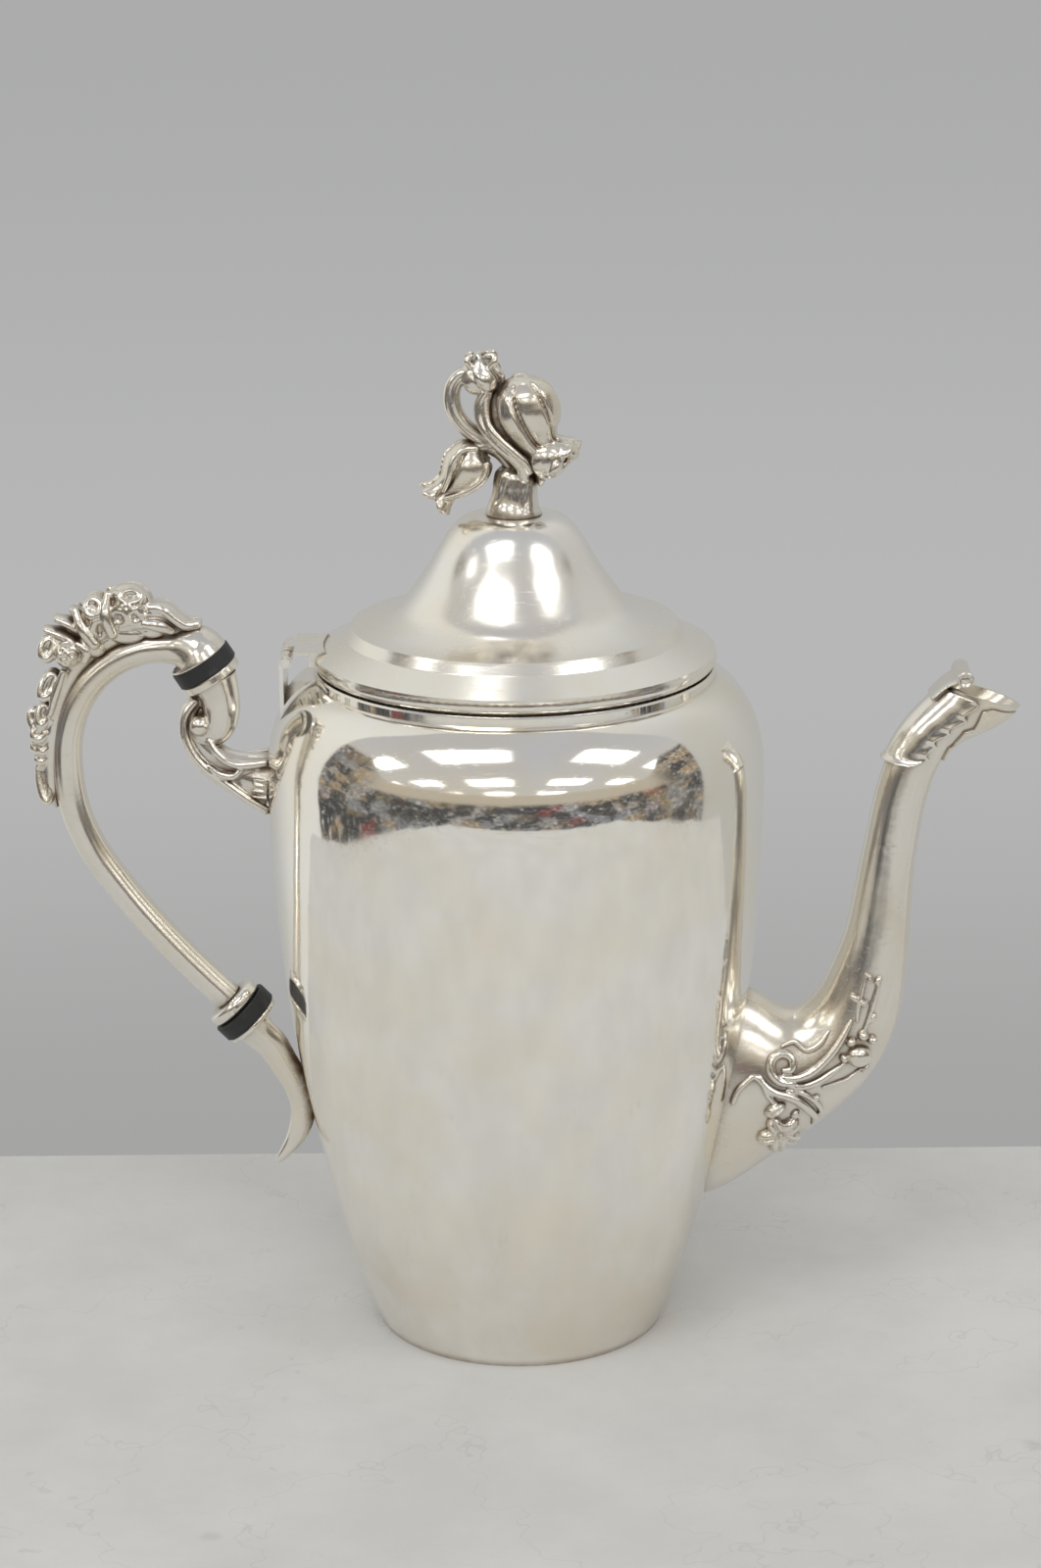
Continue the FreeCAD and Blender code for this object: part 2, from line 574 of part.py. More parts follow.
def build():
    envelope = body_envelope()
    shell = body_shell()
    collar = mouth_collar()
    body_knuckles = hinge_body_knuckles()
    knuckle_rods = Part.makeCylinder(KNUCKLE_RADIUS, 2 * HINGE_HALF, V(PIN_X, -HINGE_HALF, PIN_Z), ACROSS)
    cover = lid_shell()
    rim = lid_rim_wire(cover)
    bezel = lid_bezel(cover)
    lid_knuckle = hinge_lid_knuckle()
    grip = handle_grip()
    spray = largest(handle_flower_spray(grip))
    upper_pins = cross_pins(UPPER_DISC, UPPER_DIRECTION)
    lower_pins = cross_pins(LOWER_DISC, LOWER_DIRECTION)
    upper_insulator = insulator(UPPER_DISC, UPPER_DIRECTION, UPPER_RING_THICK)
    lower_insulator = insulator(LOWER_DISC, LOWER_DIRECTION, LOWER_RING_THICK)
    lower_collar = handle_lower_collar()
    trunk = finial_trunk()
    stem = finial_bud_stem(trunk)
    large = bell_bloom(LARGE_BLOOM_TOP, LARGE_BLOOM_MOUTH, LARGE_BLOOM_CURVE)
    large = largest(large.cut(trunk.fuse(stem)))
    small = bell_bloom(SMALL_BLOOM_TOP, SMALL_BLOOM_MOUTH, SMALL_BLOOM_CURVE)
    small = small.fuse(casting(SMALL_STEM_PATH)).cut(trunk.fuse([stem, large]))
    return {
        "body_shell": shell,
        "base_disc": largest(base_disc(shell)),
        "mouth_collar": collar,
        "spout_shell": largest(spout_shell(envelope)),
        "spout_leaf": largest(spout_leaf()),
        "hinge_body_bracket": largest(hinge_body_bracket(envelope, knuckle_rods)),
        "hinge_body_knuckles": body_knuckles,
        "hinge_pin": hinge_pin(),
        "handle_upper_socket": largest(handle_upper_socket(envelope)),
        "handle_upper_socket_ring": socket_ring(UPPER_DISC, UPPER_DIRECTION, UPPER_RING_THICK),
        "handle_upper_insulator": upper_insulator.cut(upper_pins),
        "handle_upper_pins": upper_pins,
        "handle_grip": largest(grip.cut(upper_pins)),
        "handle_flower_spray": spray,
        "handle_lower_collar": lower_collar.cut(lower_pins),
        "handle_lower_insulator": lower_insulator.cut(lower_pins),
        "handle_lower_pins": lower_pins,
        "handle_lower_socket_ring": socket_ring(LOWER_DISC, LOWER_DIRECTION, LOWER_RING_THICK),
        "handle_lower_socket": largest(handle_lower_socket(envelope)),
        "lid_shell": cover,
        "lid_rim_wire": rim,
        "lid_bezel": bezel,
        "hinge_lid_leaf": hinge_lid_leaf(cover, rim),
        "hinge_lid_knuckle": lid_knuckle,
        "finial_trunk": trunk,
        "finial_large_bloom": large,
        "finial_small_bloom": largest(small),
        "finial_bud_stem": stem,
        "finial_stud": finial_stud(),
        "finial_washer": finial_washer(),
        "finial_nut": finial_nut(),
    }


os.makedirs("parts", exist_ok=True)
for node, shape in build().items():
    solids = shape.Solids
    print(node, len(solids), "solids", "valid" if shape.isValid() else "INVALID", round(shape.Volume))
    shape.exportStep("parts/" + node + ".step")
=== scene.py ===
"""Silver coffee pot: the looks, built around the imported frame."""
import json
import math

import bpy
import numpy as np
from mathutils import Matrix, Vector
from mathutils.bvhtree import BVHTree


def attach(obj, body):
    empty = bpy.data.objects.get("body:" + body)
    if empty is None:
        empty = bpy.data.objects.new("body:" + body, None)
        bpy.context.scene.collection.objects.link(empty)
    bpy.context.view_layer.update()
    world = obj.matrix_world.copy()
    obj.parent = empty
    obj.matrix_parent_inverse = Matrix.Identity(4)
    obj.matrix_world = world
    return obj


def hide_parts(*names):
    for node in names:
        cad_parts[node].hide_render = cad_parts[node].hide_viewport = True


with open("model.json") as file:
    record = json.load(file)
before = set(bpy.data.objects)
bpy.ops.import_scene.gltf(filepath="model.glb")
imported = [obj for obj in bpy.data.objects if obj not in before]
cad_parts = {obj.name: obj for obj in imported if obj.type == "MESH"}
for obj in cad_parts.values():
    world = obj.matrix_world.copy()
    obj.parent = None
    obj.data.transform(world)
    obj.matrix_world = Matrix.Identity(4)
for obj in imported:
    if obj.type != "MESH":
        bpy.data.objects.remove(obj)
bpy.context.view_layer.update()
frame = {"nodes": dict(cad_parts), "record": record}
nodes = frame["nodes"]
MM = 0.001
FULL_TURN = 2 * math.pi


# ---------------------------------------------------------------- materials

def new_material(name):
    material = bpy.data.materials.new(name)
    material.use_nodes = True
    tree = material.node_tree
    return material, tree, tree.nodes["Principled BSDF"]


def add(tree, kind, **values):
    """A node with its settings and unlinked inputs filled in."""
    node = tree.nodes.new(kind)
    for key, value in values.items():
        if key in node.inputs:
            node.inputs[key].default_value = value
        else:
            setattr(node, key, value)
    return node


def ramp(tree, source, low, high, low_value, high_value):
    """Maps a value from low..high to low_value..high_value, with soft ends."""
    node = add(tree, "ShaderNodeMapRange", interpolation_type="SMOOTHSTEP")
    for index, value in zip((1, 2, 3, 4), (low, high, low_value, high_value)):
        node.inputs[index].default_value = value
    tree.links.new(source, node.inputs[0])
    return node.outputs[0]


def blend_colour(tree, factor, first, second):
    node = add(tree, "ShaderNodeMix", data_type="RGBA")
    tree.links.new(factor, node.inputs[0])
    for socket, value in ((node.inputs[6], first), (node.inputs[7], second)):
        if isinstance(value, tuple):
            socket.default_value = value
        else:
            tree.links.new(value, socket)
    return node.outputs[2]


def maths(tree, operation, first, second):
    node = add(tree, "ShaderNodeMath", operation=operation)
    for socket, value in ((node.inputs[0], first), (node.inputs[1], second)):
        if isinstance(value, (int, float)):
            socket.default_value = value
        else:
            tree.links.new(value, socket)
    return node.outputs[0]


def place(tree, scale=(1, 1, 1), turn=(0, 0, 0)):
    """Object coordinates in millimetres, stretched and turned."""
    coords = add(tree, "ShaderNodeTexCoord")
    mapping = add(tree, "ShaderNodeMapping")
    mapping.inputs["Scale"].default_value = [1000 * s for s in scale]
    mapping.inputs["Rotation"].default_value = turn
    tree.links.new(coords.outputs["Object"], mapping.inputs["Vector"])
    return mapping.outputs[0]


def noise_value(tree, vector, scale, detail=3.0, roughness=0.5):
    node = add(tree, "ShaderNodeTexNoise", Scale=scale, Detail=detail, Roughness=roughness)
    tree.links.new(vector, node.inputs["Vector"])
    return node.outputs["Fac"]


def scratches(tree, turn, fine):
    """Thin hairlines: a strongly stretched noise, cut to its peaks."""
    vector = place(tree, (0.045, 1.0, 1.0), turn)
    value = noise_value(tree, vector, fine, 1.0)
    return ramp(tree, value, 0.62, 0.72, 0.0, 1.0)


def silver(name, tint, polish, patina_and_shade, hairlines, cast, haze):
    """Silver plate. 'polish' is its base roughness, the patina-and-shade amount darkens what lies deep
    with brown patina and near-black painted shade, 'hairlines' roughens the scratches, 'cast' makes the
    surface swell and dip, and 'haze' is the wear on the lid, where hands go, and how much darker and
    warmer the pot grows towards its foot."""
    material, tree, shader = new_material(name)
    links = tree.links
    shader.inputs["Metallic"].default_value = 0.93
    cloud = noise_value(tree, place(tree), 0.035, 4.0, 0.6)
    warm = tuple(c * f for c, f in zip(tint, (1.0, 0.965, 0.89))) + (1.0,)
    base = blend_colour(tree, ramp(tree, cloud, 0.35, 0.7, 0.0, 1.0), tint + (1.0,), warm)
    # Hollows darken from ambient occlusion: partly brown patina, partly near-black painted shade.
    hollow = add(tree, "ShaderNodeAmbientOcclusion", samples=8, Distance=(2.6 + 45 * cast) * MM)
    depth = ramp(tree, hollow.outputs["AO"], 0.25, 0.92 + 1.2 * cast, patina_and_shade, 0.0)
    patina_and_shade_patches = noise_value(tree, place(tree), 0.5, 3.0)
    depth = maths(tree, "MULTIPLY", depth, ramp(tree, patina_and_shade_patches, 0.25, 0.65, 0.55, 1.0))
    # The hollows' colour runs from near-black painted shade to brown patina with the noise.
    patina_and_shade_colour = blend_colour(tree, ramp(tree, patina_and_shade_patches, 0.35, 0.6, 0.0, 1.0), (0.06, 0.05, 0.042, 1.0),
                         (0.22, 0.12, 0.055, 1.0))
    level = add(tree, "ShaderNodeSeparateXYZ")
    links.new(place(tree), level.inputs[0])
    # Darker and warmer towards the foot, in blotches.
    low = ramp(tree, level.outputs[2], 0.0, 60.0, 2.6 * haze, 0.0)
    low = maths(tree, "MULTIPLY", low, ramp(tree, cloud, 0.25, 0.6, 0.35, 1.0))
    base = blend_colour(tree, low, base, (0.50, 0.44, 0.37, 1.0))
    links.new(blend_colour(tree, depth, base, patina_and_shade_colour), shader.inputs["Base Color"])
    lines = scratches(tree, (0.3, 0.5, 0.2), 1.6)
    more = scratches(tree, (1.2, 0.2, 0.9), 2.3)
    lines = maths(tree, "ADD", lines, more)
    rough = ramp(tree, cloud, 0.3, 0.75, polish * 0.75, polish * 1.5)
    rough = maths(tree, "ADD", rough, maths(tree, "MULTIPLY", lines, hairlines))
    rough = maths(tree, "ADD", rough, maths(tree, "MULTIPLY", depth, 0.35))
    rough = maths(tree, "ADD", rough, ramp(tree, level.outputs[2], 174.0, 182.0, 0.0, haze))
    links.new(rough, shader.inputs["Roughness"])
    swell = noise_value(tree, place(tree), 0.06 + 2.5 * cast, 2.0)
    height = maths(tree, "ADD", maths(tree, "MULTIPLY", swell, 1.0 + cast),
                   maths(tree, "MULTIPLY", lines, 0.02))
    bump = add(tree, "ShaderNodeBump", Strength=0.10 + 0.8 * cast, Distance=0.2 * MM)
    links.new(height, bump.inputs["Height"])
    links.new(bump.outputs[0], shader.inputs["Normal"])
    return material


def black_fibre():
    """Matt pressed fibre with a fine turned grain and pale dust in its pores."""
    material, tree, shader = new_material("insulator_black")
    grain = noise_value(tree, place(tree), 2.4, 5.0, 0.7)
    wear = noise_value(tree, place(tree), 0.35, 3.0)
    dark = blend_colour(tree, grain, (0.010, 0.010, 0.012, 1.0), (0.035, 0.036, 0.040, 1.0))
    worn = blend_colour(tree, ramp(tree, wear, 0.55, 0.8, 0.0, 0.5), dark, (0.09, 0.09, 0.095, 1.0))
    tree.links.new(worn, shader.inputs["Base Color"])
    tree.links.new(ramp(tree, grain, 0.2, 0.8, 0.42, 0.62), shader.inputs["Roughness"])
    bump = add(tree, "ShaderNodeBump", Strength=0.35, Distance=0.12 * MM)
    tree.links.new(grain, bump.inputs["Height"])
    tree.links.new(bump.outputs[0], shader.inputs["Normal"])
    return material


def plain_metal():
    """The nut, stud and washer inside the lid: duller, turned nickel."""
    return silver("plain_metal", (0.62, 0.60, 0.57), polish=0.28, patina_and_shade=0.5, hairlines=0.15, cast=0.3,
                  haze=0.0)


def make_materials():
    return {
        "silver_polished": silver("silver_polished", (0.965, 0.95, 0.91), polish=0.065, patina_and_shade=0.55,
                                  hairlines=0.07, cast=0.0, haze=0.12),
        "silver_cast": silver("silver_cast", (0.87, 0.84, 0.78), polish=0.16, patina_and_shade=0.97,
                              hairlines=0.06, cast=0.05, haze=0.0),
        "insulator_black": black_fibre(),
        "steel": plain_metal(),
    }


materials = make_materials()
slot_of = {entry["node"]: entry["material_slot"] for entry in frame["record"]["subparts"]}


def dress(piece, slot_name):
    piece.data.materials.clear()
    piece.data.materials.append(materials[slot_name])


for node_name, node_object in nodes.items():
    dress(node_object, slot_of[node_name])


# ---------------------------------------------------------------- shapes, in millimetres

ACROSS = np.array([0.0, 1.0, 0.0])
WIRE_SIDES = 12
LOOP_STEPS = 32
BALL_ROWS = 13
BALL_COLUMNS = 24
BELL_ROWS = 72
BELL_COLUMNS = 150


def unit(vectors):
    return vectors / np.maximum(np.linalg.norm(vectors, axis=-1, keepdims=True), 1e-9)


def smooth_path(points, count):
    """Points evenly spread along a smooth curve through the given ones; extra columns follow."""
    points = np.array(points, float)
    run = np.concatenate([[0], np.cumsum(np.linalg.norm(np.diff(points[:, :3], axis=0), axis=1))])
    slope = np.gradient(points, run, axis=0)
    spots = np.linspace(0, run[-1], count)
    at = np.clip(np.searchsorted(run, spots, side="right") - 1, 0, len(points) - 2)
    step = (run[at + 1] - run[at])[:, None]
    u = (spots - run[at])[:, None] / step
    return ((2 * u**3 - 3 * u**2 + 1) * points[at] + (u**3 - 2 * u**2 + u) * step * slope[at]
            + (3 * u**2 - 2 * u**3) * points[at + 1] + (u**3 - u**2) * step * slope[at + 1])


def grid_faces(rows, columns, wrap, first=0):
    faces = []
    for i in range(rows - 1):
        for j in range(columns if wrap else columns - 1):
            k = (j + 1) % columns
            faces.append((first + i * columns + j, first + i * columns + k,
                          first + (i + 1) * columns + k, first + (i + 1) * columns + j))
    return faces


def tube(points, count=40, sides=16, wide=1.0, shape=None, flat_ends=False):
    """A round bar along (x, y, z, radius) stations; 'wide' stretches it sideways."""
    path = smooth_path(points, count)
    centre, radius = path[:, :3], path[:, 3]
    along = unit(np.gradient(centre, axis=0))
    if not flat_ends:
        tips = np.array([1.0, 0.93, 0.75, 0.45])
        shrink = np.sqrt(1 - tips**2) + 0.02
        head = centre[0] - along[0] * (tips * radius[0] * 0.8)[:, None]
        tail = centre[-1] + along[-1] * (tips[::-1] * radius[-1] * 0.8)[:, None]
        centre = np.vstack([head, centre, tail])
        along = np.vstack([np.repeat(along[:1], 4, 0), along, np.repeat(along[-1:], 4, 0)])
        radius = np.concatenate([radius[0] * shrink, radius, radius[-1] * shrink[::-1]])
    side = unit(ACROSS - along * (along @ ACROSS)[:, None] + 1e-6)
    normal = np.cross(along, side)
    angle = np.linspace(0, FULL_TURN, sides, endpoint=False)
    reach = radius[:, None] * np.ones(sides)
    if shape:
        reach = reach * shape(np.linspace(0, 1, len(centre))[:, None], angle[None, :])
    ring = (centre[:, None] + (reach * np.cos(angle))[..., None] * normal[:, None]
            + (reach * np.sin(angle) * wide)[..., None] * side[:, None])
    rows = len(centre)
    faces = grid_faces(rows, sides, True)
    faces += [tuple(range(sides))[::-1], tuple(range((rows - 1) * sides, rows * sides))]
    return ring.reshape(-1, 3), faces


def blob(centre, size, tilt=0.0):
    """An ellipsoid, tilted in the XZ plane."""
    lat = np.linspace(0, np.pi, BALL_ROWS + 2)[1:-1]
    lon = np.linspace(0, FULL_TURN, BALL_COLUMNS, endpoint=False)
    lat, lon = np.meshgrid(lat, lon, indexing="ij")
    ball = np.stack([np.sin(lat) * np.cos(lon), np.sin(lat) * np.sin(lon), np.cos(lat)], -1)
    points = ball.reshape(-1, 3) * size
    poles = np.array([[0, 0, size[2]], [0, 0, -size[2]]])
    points = np.vstack([points, poles])
    c, s = math.cos(tilt), math.sin(tilt)
    points = points @ np.array([[c, 0, s], [0, 1, 0], [-s, 0, c]]) + np.array(centre)
    faces = grid_faces(BALL_ROWS, BALL_COLUMNS, True)
    top = BALL_ROWS * BALL_COLUMNS
    last = top - BALL_COLUMNS
    for j in range(BALL_COLUMNS):
        k = (j + 1) % BALL_COLUMNS
        faces += [(k, j, top), (last + j, last + k, top + 1)]
    return points, faces


def ring_faces(steps):
    """The faces of a closed ring of wire."""
    points = steps * WIRE_SIDES
    return [tuple(f % points for f in face) for face in grid_faces(steps + 1, WIRE_SIDES, True)]


def loop(centre, long, short, thick, tilt=0.0, facing=(0, -1, 0.25)):
    """A closed ring of wire around an oval: the rim of a cupped petal."""
    out = unit(np.array(facing, float))
    first = np.array([math.cos(tilt), 0, math.sin(tilt)])
    first = unit(first - out * (first @ out))
    second = np.cross(out, first)
    turn = np.linspace(0, FULL_TURN, LOOP_STEPS, endpoint=False)
    angle = np.linspace(0, FULL_TURN, WIRE_SIDES, endpoint=False)
    middle = np.cos(turn)[:, None] * first * long + np.sin(turn)[:, None] * second * short
    away = unit(np.cos(turn)[:, None] * first * short + np.sin(turn)[:, None] * second * long)
    ring = (np.array(centre) + middle[:, None] + thick * (np.cos(angle)[None, :, None] * away[:, None]
            + np.sin(angle)[None, :, None] * out))
    return ring.reshape(-1, 3), ring_faces(LOOP_STEPS)


def slab(top, base, wrap=False):
    """A closed solid between two matching grids of points."""
    rows, columns = top.shape[:2]
    points = np.vstack([top.reshape(-1, 3), base.reshape(-1, 3)])
    under = rows * columns
    faces = grid_faces(rows, columns, wrap)
    faces += [face[::-1] for face in grid_faces(rows, columns, wrap, under)]
    if wrap:
        last = (rows - 1) * columns
        for j in range(columns):
            k = (j + 1) % columns
            faces += [(k, j, under + j, under + k),
                      (last + j, last + k, under + last + k, under + last + j)]
    else:
        edge = list(range(columns))
        edge += [i * columns + columns - 1 for i in range(1, rows)]
        edge += [(rows - 1) * columns + j for j in range(columns - 2, -1, -1)]
        edge += [i * columns for i in range(rows - 2, 0, -1)]
        for a, b in zip(edge, edge[1:] + edge[:1]):
            faces.append((b, a, under + a, under + b))
    return points, faces


def grid_normals(grid, wrap):
    down = np.gradient(grid, axis=0)
    if wrap:
        over = (np.roll(grid, -1, axis=1) - np.roll(grid, 1, axis=1)) / 2
    else:
        over = np.gradient(grid, axis=1)
    return unit(np.cross(down, over))


def soft_step(value, low, high):
    u = np.clip((value - low) / (high - low), 0, 1)
    return u * u * (3 - 2 * u)


def ring_along(line, thick):
    """A closed bead of round section along a closed line of points."""
    along = unit(np.roll(line, -1, axis=0) - np.roll(line, 1, axis=0))
    away = unit(line - line.mean(axis=0))
    away = unit(away - along * (away * along).sum(axis=1, keepdims=True))
    third = np.cross(along, away)
    angle = np.linspace(0, FULL_TURN, WIRE_SIDES, endpoint=False)
    ring = (line[:, None] + thick * (np.cos(angle)[None, :, None] * away[:, None]
            + np.sin(angle)[None, :, None] * third[:, None]))
    return ring.reshape(-1, 3), ring_faces(len(line))


def bell(stations, petals, start, twist, groove, overlap, lip, wall, roll):
    """A bell flower: overlapping petals around a curved axis of (x, z, radius), flared at its rim.

    The petals begin at the angle 'start' and turn by 'twist' along the bell. 'groove' is the depth
    between them, 'lip' the flare of the rim, 'wall' its thickness and 'roll' its bead's radius."""
    path = smooth_path([(x, 0, z, r) for x, z, r in stations], BELL_ROWS)
    centre, radius = path[:, :3], path[:, 3]
    along = unit(np.gradient(centre, axis=0))
    outward = np.cross(along, ACROSS)
    angle = np.linspace(0, FULL_TURN, BELL_COLUMNS, endpoint=False)
    s = np.linspace(0, 1, BELL_ROWS)[:, None]
    phase = petals * (angle[None, :] - start - twist * s)
    phase = (phase + np.pi) % FULL_TURN / np.pi - 1
    gap = (1 - np.abs(phase)) * np.pi / petals * np.minimum(radius[:, None], radius.max() * 0.8)
    fade = soft_step(s, 0.02, 0.16)
    reach = radius[:, None] + fade * (overlap * phase - groove * np.exp(-(gap / 0.6) ** 2))
    tip = 0.5 + 0.5 * np.cos(np.pi * phase)
    rim = soft_step(s, 0.8, 1.0)
    reach = reach + rim * lip * (tip - 0.35)
    forward = rim * lip * 0.9 * (tip - 0.6)
    grid = (centre[:, None] + along[:, None] * forward[..., None]
            + outward[:, None] * (reach * np.cos(angle))[...,
                                                         None] + ACROSS * (reach * np.sin(angle))[...,
                                                                                                  None])
    normals = grid_normals(grid, True)
    waist = BELL_ROWS // 2
    if ((grid[waist] - centre[waist]) * normals[waist]).sum() < 0:
        normals = -normals
    return [slab(grid, grid - normals * wall, True), ring_along(grid[-1] - normals[-1] * wall / 2, roll)]


def mirrored(part):
    """The same part on the other side of the pot."""
    points, faces = part
    return points * np.array([1, -1, 1]), [face[::-1] for face in faces]


def both_sides(parts):
    return parts + [mirrored(part) for part in parts]


def fused(name, parts, voxel, rounds):
    """Joins closed parts into one skin, and softens it as casting and polishing do."""
    points, faces, first = [], [], 0
    for part_points, part_faces in parts:
        points.append(part_points)
        faces += [tuple(int(i) + first for i in face) for face in part_faces]
        first += len(part_points)
    mesh = bpy.data.meshes.new(name + "_parts")
    mesh.from_pydata(np.vstack(points).tolist(), [], faces)
    rough = bpy.data.objects.new(name + "_parts", mesh)
    bpy.context.scene.collection.objects.link(rough)
    remesh = rough.modifiers.new("remesh", "REMESH")
    remesh.mode = "VOXEL"
    remesh.voxel_size = voxel
    smooth = rough.modifiers.new("smooth", "SMOOTH")
    smooth.iterations = rounds
    result = bpy.data.meshes.new_from_object(rough.evaluated_get(bpy.context.evaluated_depsgraph_get()))
    bpy.data.objects.remove(rough)
    bpy.data.meshes.remove(mesh)
    result.transform(Matrix.Scale(MM, 4))
    result.name = name
    result.polygons.foreach_set("use_smooth", [True] * len(result.polygons))
    piece = bpy.data.objects.new(name, result)
    bpy.context.scene.collection.objects.link(piece)
    return piece


def install(name, parts, body, slot_name, replaced, voxel, rounds=2):
    """Makes one visual piece from its parts, and says what it rides on, wears and replaces."""
    piece = fused(name, parts, voxel, rounds)
    dress(piece, slot_name)
    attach(piece, body)
    if replaced:
        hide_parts(*replaced)


# ---------------------------------------------------------------- finial

def cleft(s, angle):
    """Five clefts down the finial's trunk."""
    fold = np.abs((angle * 5 / np.pi + 0.9 * s) % 2 - 1)
    return 1 - 0.08 * np.exp(-(fold / 0.14) ** 2) * soft_step(s, 0.12, 0.35)


def twin(s, angle):
    """A stem of two strands, with a groove between them on both sides."""
    return (1 - 0.30 * np.exp(-(1 - np.abs(np.sin(angle))) / 0.07)) * np.ones_like(s)


LARGE_BELL = [(1.9, 248.9, 0.4), (2.0, 248.0, 3.4), (2.3, 245.8, 6.8), (2.8, 241.6, 8.6),
              (3.6, 237.0, 8.3), (5.0, 232.8, 6.7), (7.2, 229.8, 5.5), (9.0, 228.3, 6.1),
              (10.2, 227.3, 7.2)]
SMALL_BELL = [(-8.0, 231.9, 0.4), (-8.6, 231.0, 2.8), (-9.6, 229.7, 4.8), (-11.0, 227.2, 6.2),
              (-13.5, 223.7, 5.6), (-16.2, 221.0, 3.8), (-17.9, 219.4, 4.0), (-19.2, 218.2, 4.7)]
BUD_BELL = [(-6.6, 243.7, 0.8), (-6.8, 244.9, 3.5), (-7.0, 247.2, 5.0), (-7.2, 249.6, 5.1),
            (-7.2, 251.6, 4.0), (-7.2, 252.8, 3.0)]


def trunk_parts():
    return [tube([(0.1, 0, 213.9, 7.0), (0.1, 0, 215.3, 6.7), (0.3, 0, 217.4, 6.0), (0.5, 0, 219.8, 5.6),
                   (0.6, 0, 222.2, 5.5), (0.9, 0, 224.6, 4.8), (1.2, 0, 226.2, 2.6)], 40, 60, 0.95, cleft,
                   True)]


def large_bell_parts():
    large = bell(LARGE_BELL, 7, -1.60, 0.75, 1.5, 0.5, 0.6, 1.6, 0.7)
    # The front petal folded outwards over the mouth, and the lip that curls up behind it.
    large += [blob((8.2, -4.6, 228.2), (4.3, 2.6, 4.2), 0.5),
              blob((13.4, -0.6, 230.2), (3.4, 4.2, 2.3), -0.6),
              tube([(6.2, -5.0, 225.0, 0.6), (9.6, -4.8, 224.6, 0.8), (12.6, -3.4, 226.8, 0.8),
                    (15.4, -1.6, 229.8, 0.9), (16.4, 0.4, 232.0, 0.8)], 36, 12)]
    large += [tube([(2.0, 0, 247.6, 2.4), (2.3, 0, 244.4, 4.6), (3.2, 0, 238.6, 4.8),
                    (5.6, 0, 232.2, 4.2)], 24, 20),
              blob((2.1, 0, 224.8), (3.0, 3.6, 3.2))]
    return large


def small_bell_parts():
    small = bell(SMALL_BELL, 5, -1.55, 0.5, 0.6, 0.5, 1.1, 1.1, 0.7)
    small += [tube([(-9.2, 0, 230.2, 2.2), (-11.2, 0, 227.0, 3.4), (-14.0, 0, 223.2, 2.6)], 16, 20)]
    small += both_sides([tube([(-8.8, -3.2, 231.2, 0.7), (-12.4, -4.6, 231.0, 0.8),
                               (-15.0, -5.2, 228.0, 0.8), (-15.9, -5.2, 224.2, 0.8),
                               (-17.2, -4.2, 221.0, 0.75)], 30, 12),
                         tube([(-6.2, -3.6, 227.4, 0.7), (-7.0, -4.2, 224.0, 0.8),
                               (-10.2, -4.4, 221.2, 0.85), (-14.0, -4.0, 219.6, 0.8),
                               (-17.2, -3.4, 218.6, 0.7)], 30, 12)])
    return small


def bud_and_stem_parts():
    stem = [tube([(1.5, 0, 221.5, 2.6), (0.3, 0, 226.0, 2.5), (-2.4, 0, 229.6, 2.4),
                  (-5.6, 0, 231.9, 2.3), (-9.2, 0, 234.0, 2.1), (-12.2, 0, 236.6, 2.15),
                  (-14.3, 0, 239.9, 2.2), (-15.0, 0, 243.3, 2.2), (-14.3, 0, 246.7, 2.1),
                  (-12.5, 0, 248.7, 2.0), (-10.0, 0, 249.2, 1.8)],
                 90, 28, 1.25, twin)]
    stem += bell(BUD_BELL, 5, -1.2, 1.1, 0.6, 0.8, 0.5, 1.2, 0.5)
    stem += [blob((-7.1, 0, 248.4), (4.4, 4.4, 4.6)), blob((-4.4, 0, 231.2), (3.4, 2.9, 1.9), 0.35),
             tube([(-3.4, 0, 232.6, 1.5), (-5.6, 0, 231.6, 1.7), (-8.4, 0, 231.0, 1.8)], 16, 14, 1.4),
             tube([(0.4, 0, 221.4, 1.9), (-0.6, 0, 225.4, 1.6), (-2.6, 0, 228.6, 1.5),
                   (-5.2, 0, 230.4, 1.5)], 24, 14, 1.5)]
    # Two strands side by side along the edge of the large bell.
    stem += [tube([(-6.8, -3.2, 245.0, 1.0), (-8.2, -3.0, 242.2, 1.15), (-8.2, -3.2, 239.2, 1.2),
                   (-6.6, -4.2, 235.6, 1.25), (-3.6, -5.0, 232.2, 1.3), (-0.4, -5.4, 229.4, 1.3),
                   (1.9, -5.0, 226.8, 1.35), (2.8, -4.2, 223.6, 1.4)], 50, 14),
             tube([(-5.6, -3.0, 245.2, 0.9), (-6.4, -3.6, 241.6, 1.0), (-5.9, -4.6, 237.4, 1.0),
                   (-3.2, -5.8, 233.9, 1.0), (0.0, -6.2, 230.9, 1.0), (2.7, -6.0, 228.2, 1.0),
                   (4.0, -5.0, 225.6, 1.0)], 50, 14)]
    stem += both_sides([tube([(-9.9, -2.4, 251.2, 0.8), (-11.0, -2.4, 252.8, 0.9),
                              (-10.0, -1.9, 253.9, 0.75)], 14, 12),
                        tube([(-5.6, -3.0, 251.2, 0.8), (-4.2, -3.2, 252.9, 0.9),
                              (-4.6, -2.6, 254.0, 0.8), (-6.2, -2.2, 253.9, 0.7)], 18, 12)])
    stem += [tube([(-7.8, -1.6, 252.8, 0.8), (-8.3, -0.6, 254.0, 0.8), (-7.2, 0.6, 254.2, 0.7)], 12, 12)]
    return stem


def build_finial():
    install("finial_trunk_cast", trunk_parts(), "lid", "silver_cast", ["finial_trunk"], 0.25)
    install("finial_large_bell", large_bell_parts(), "lid", "silver_cast", ["finial_large_bloom"], 0.24)
    install("finial_small_bell", small_bell_parts(), "lid", "silver_cast", ["finial_small_bloom"], 0.22)
    install("finial_bud_and_stem", bud_and_stem_parts(), "lid", "silver_cast", ["finial_bud_stem"], 0.22)


# ---------------------------------------------------------------- handle

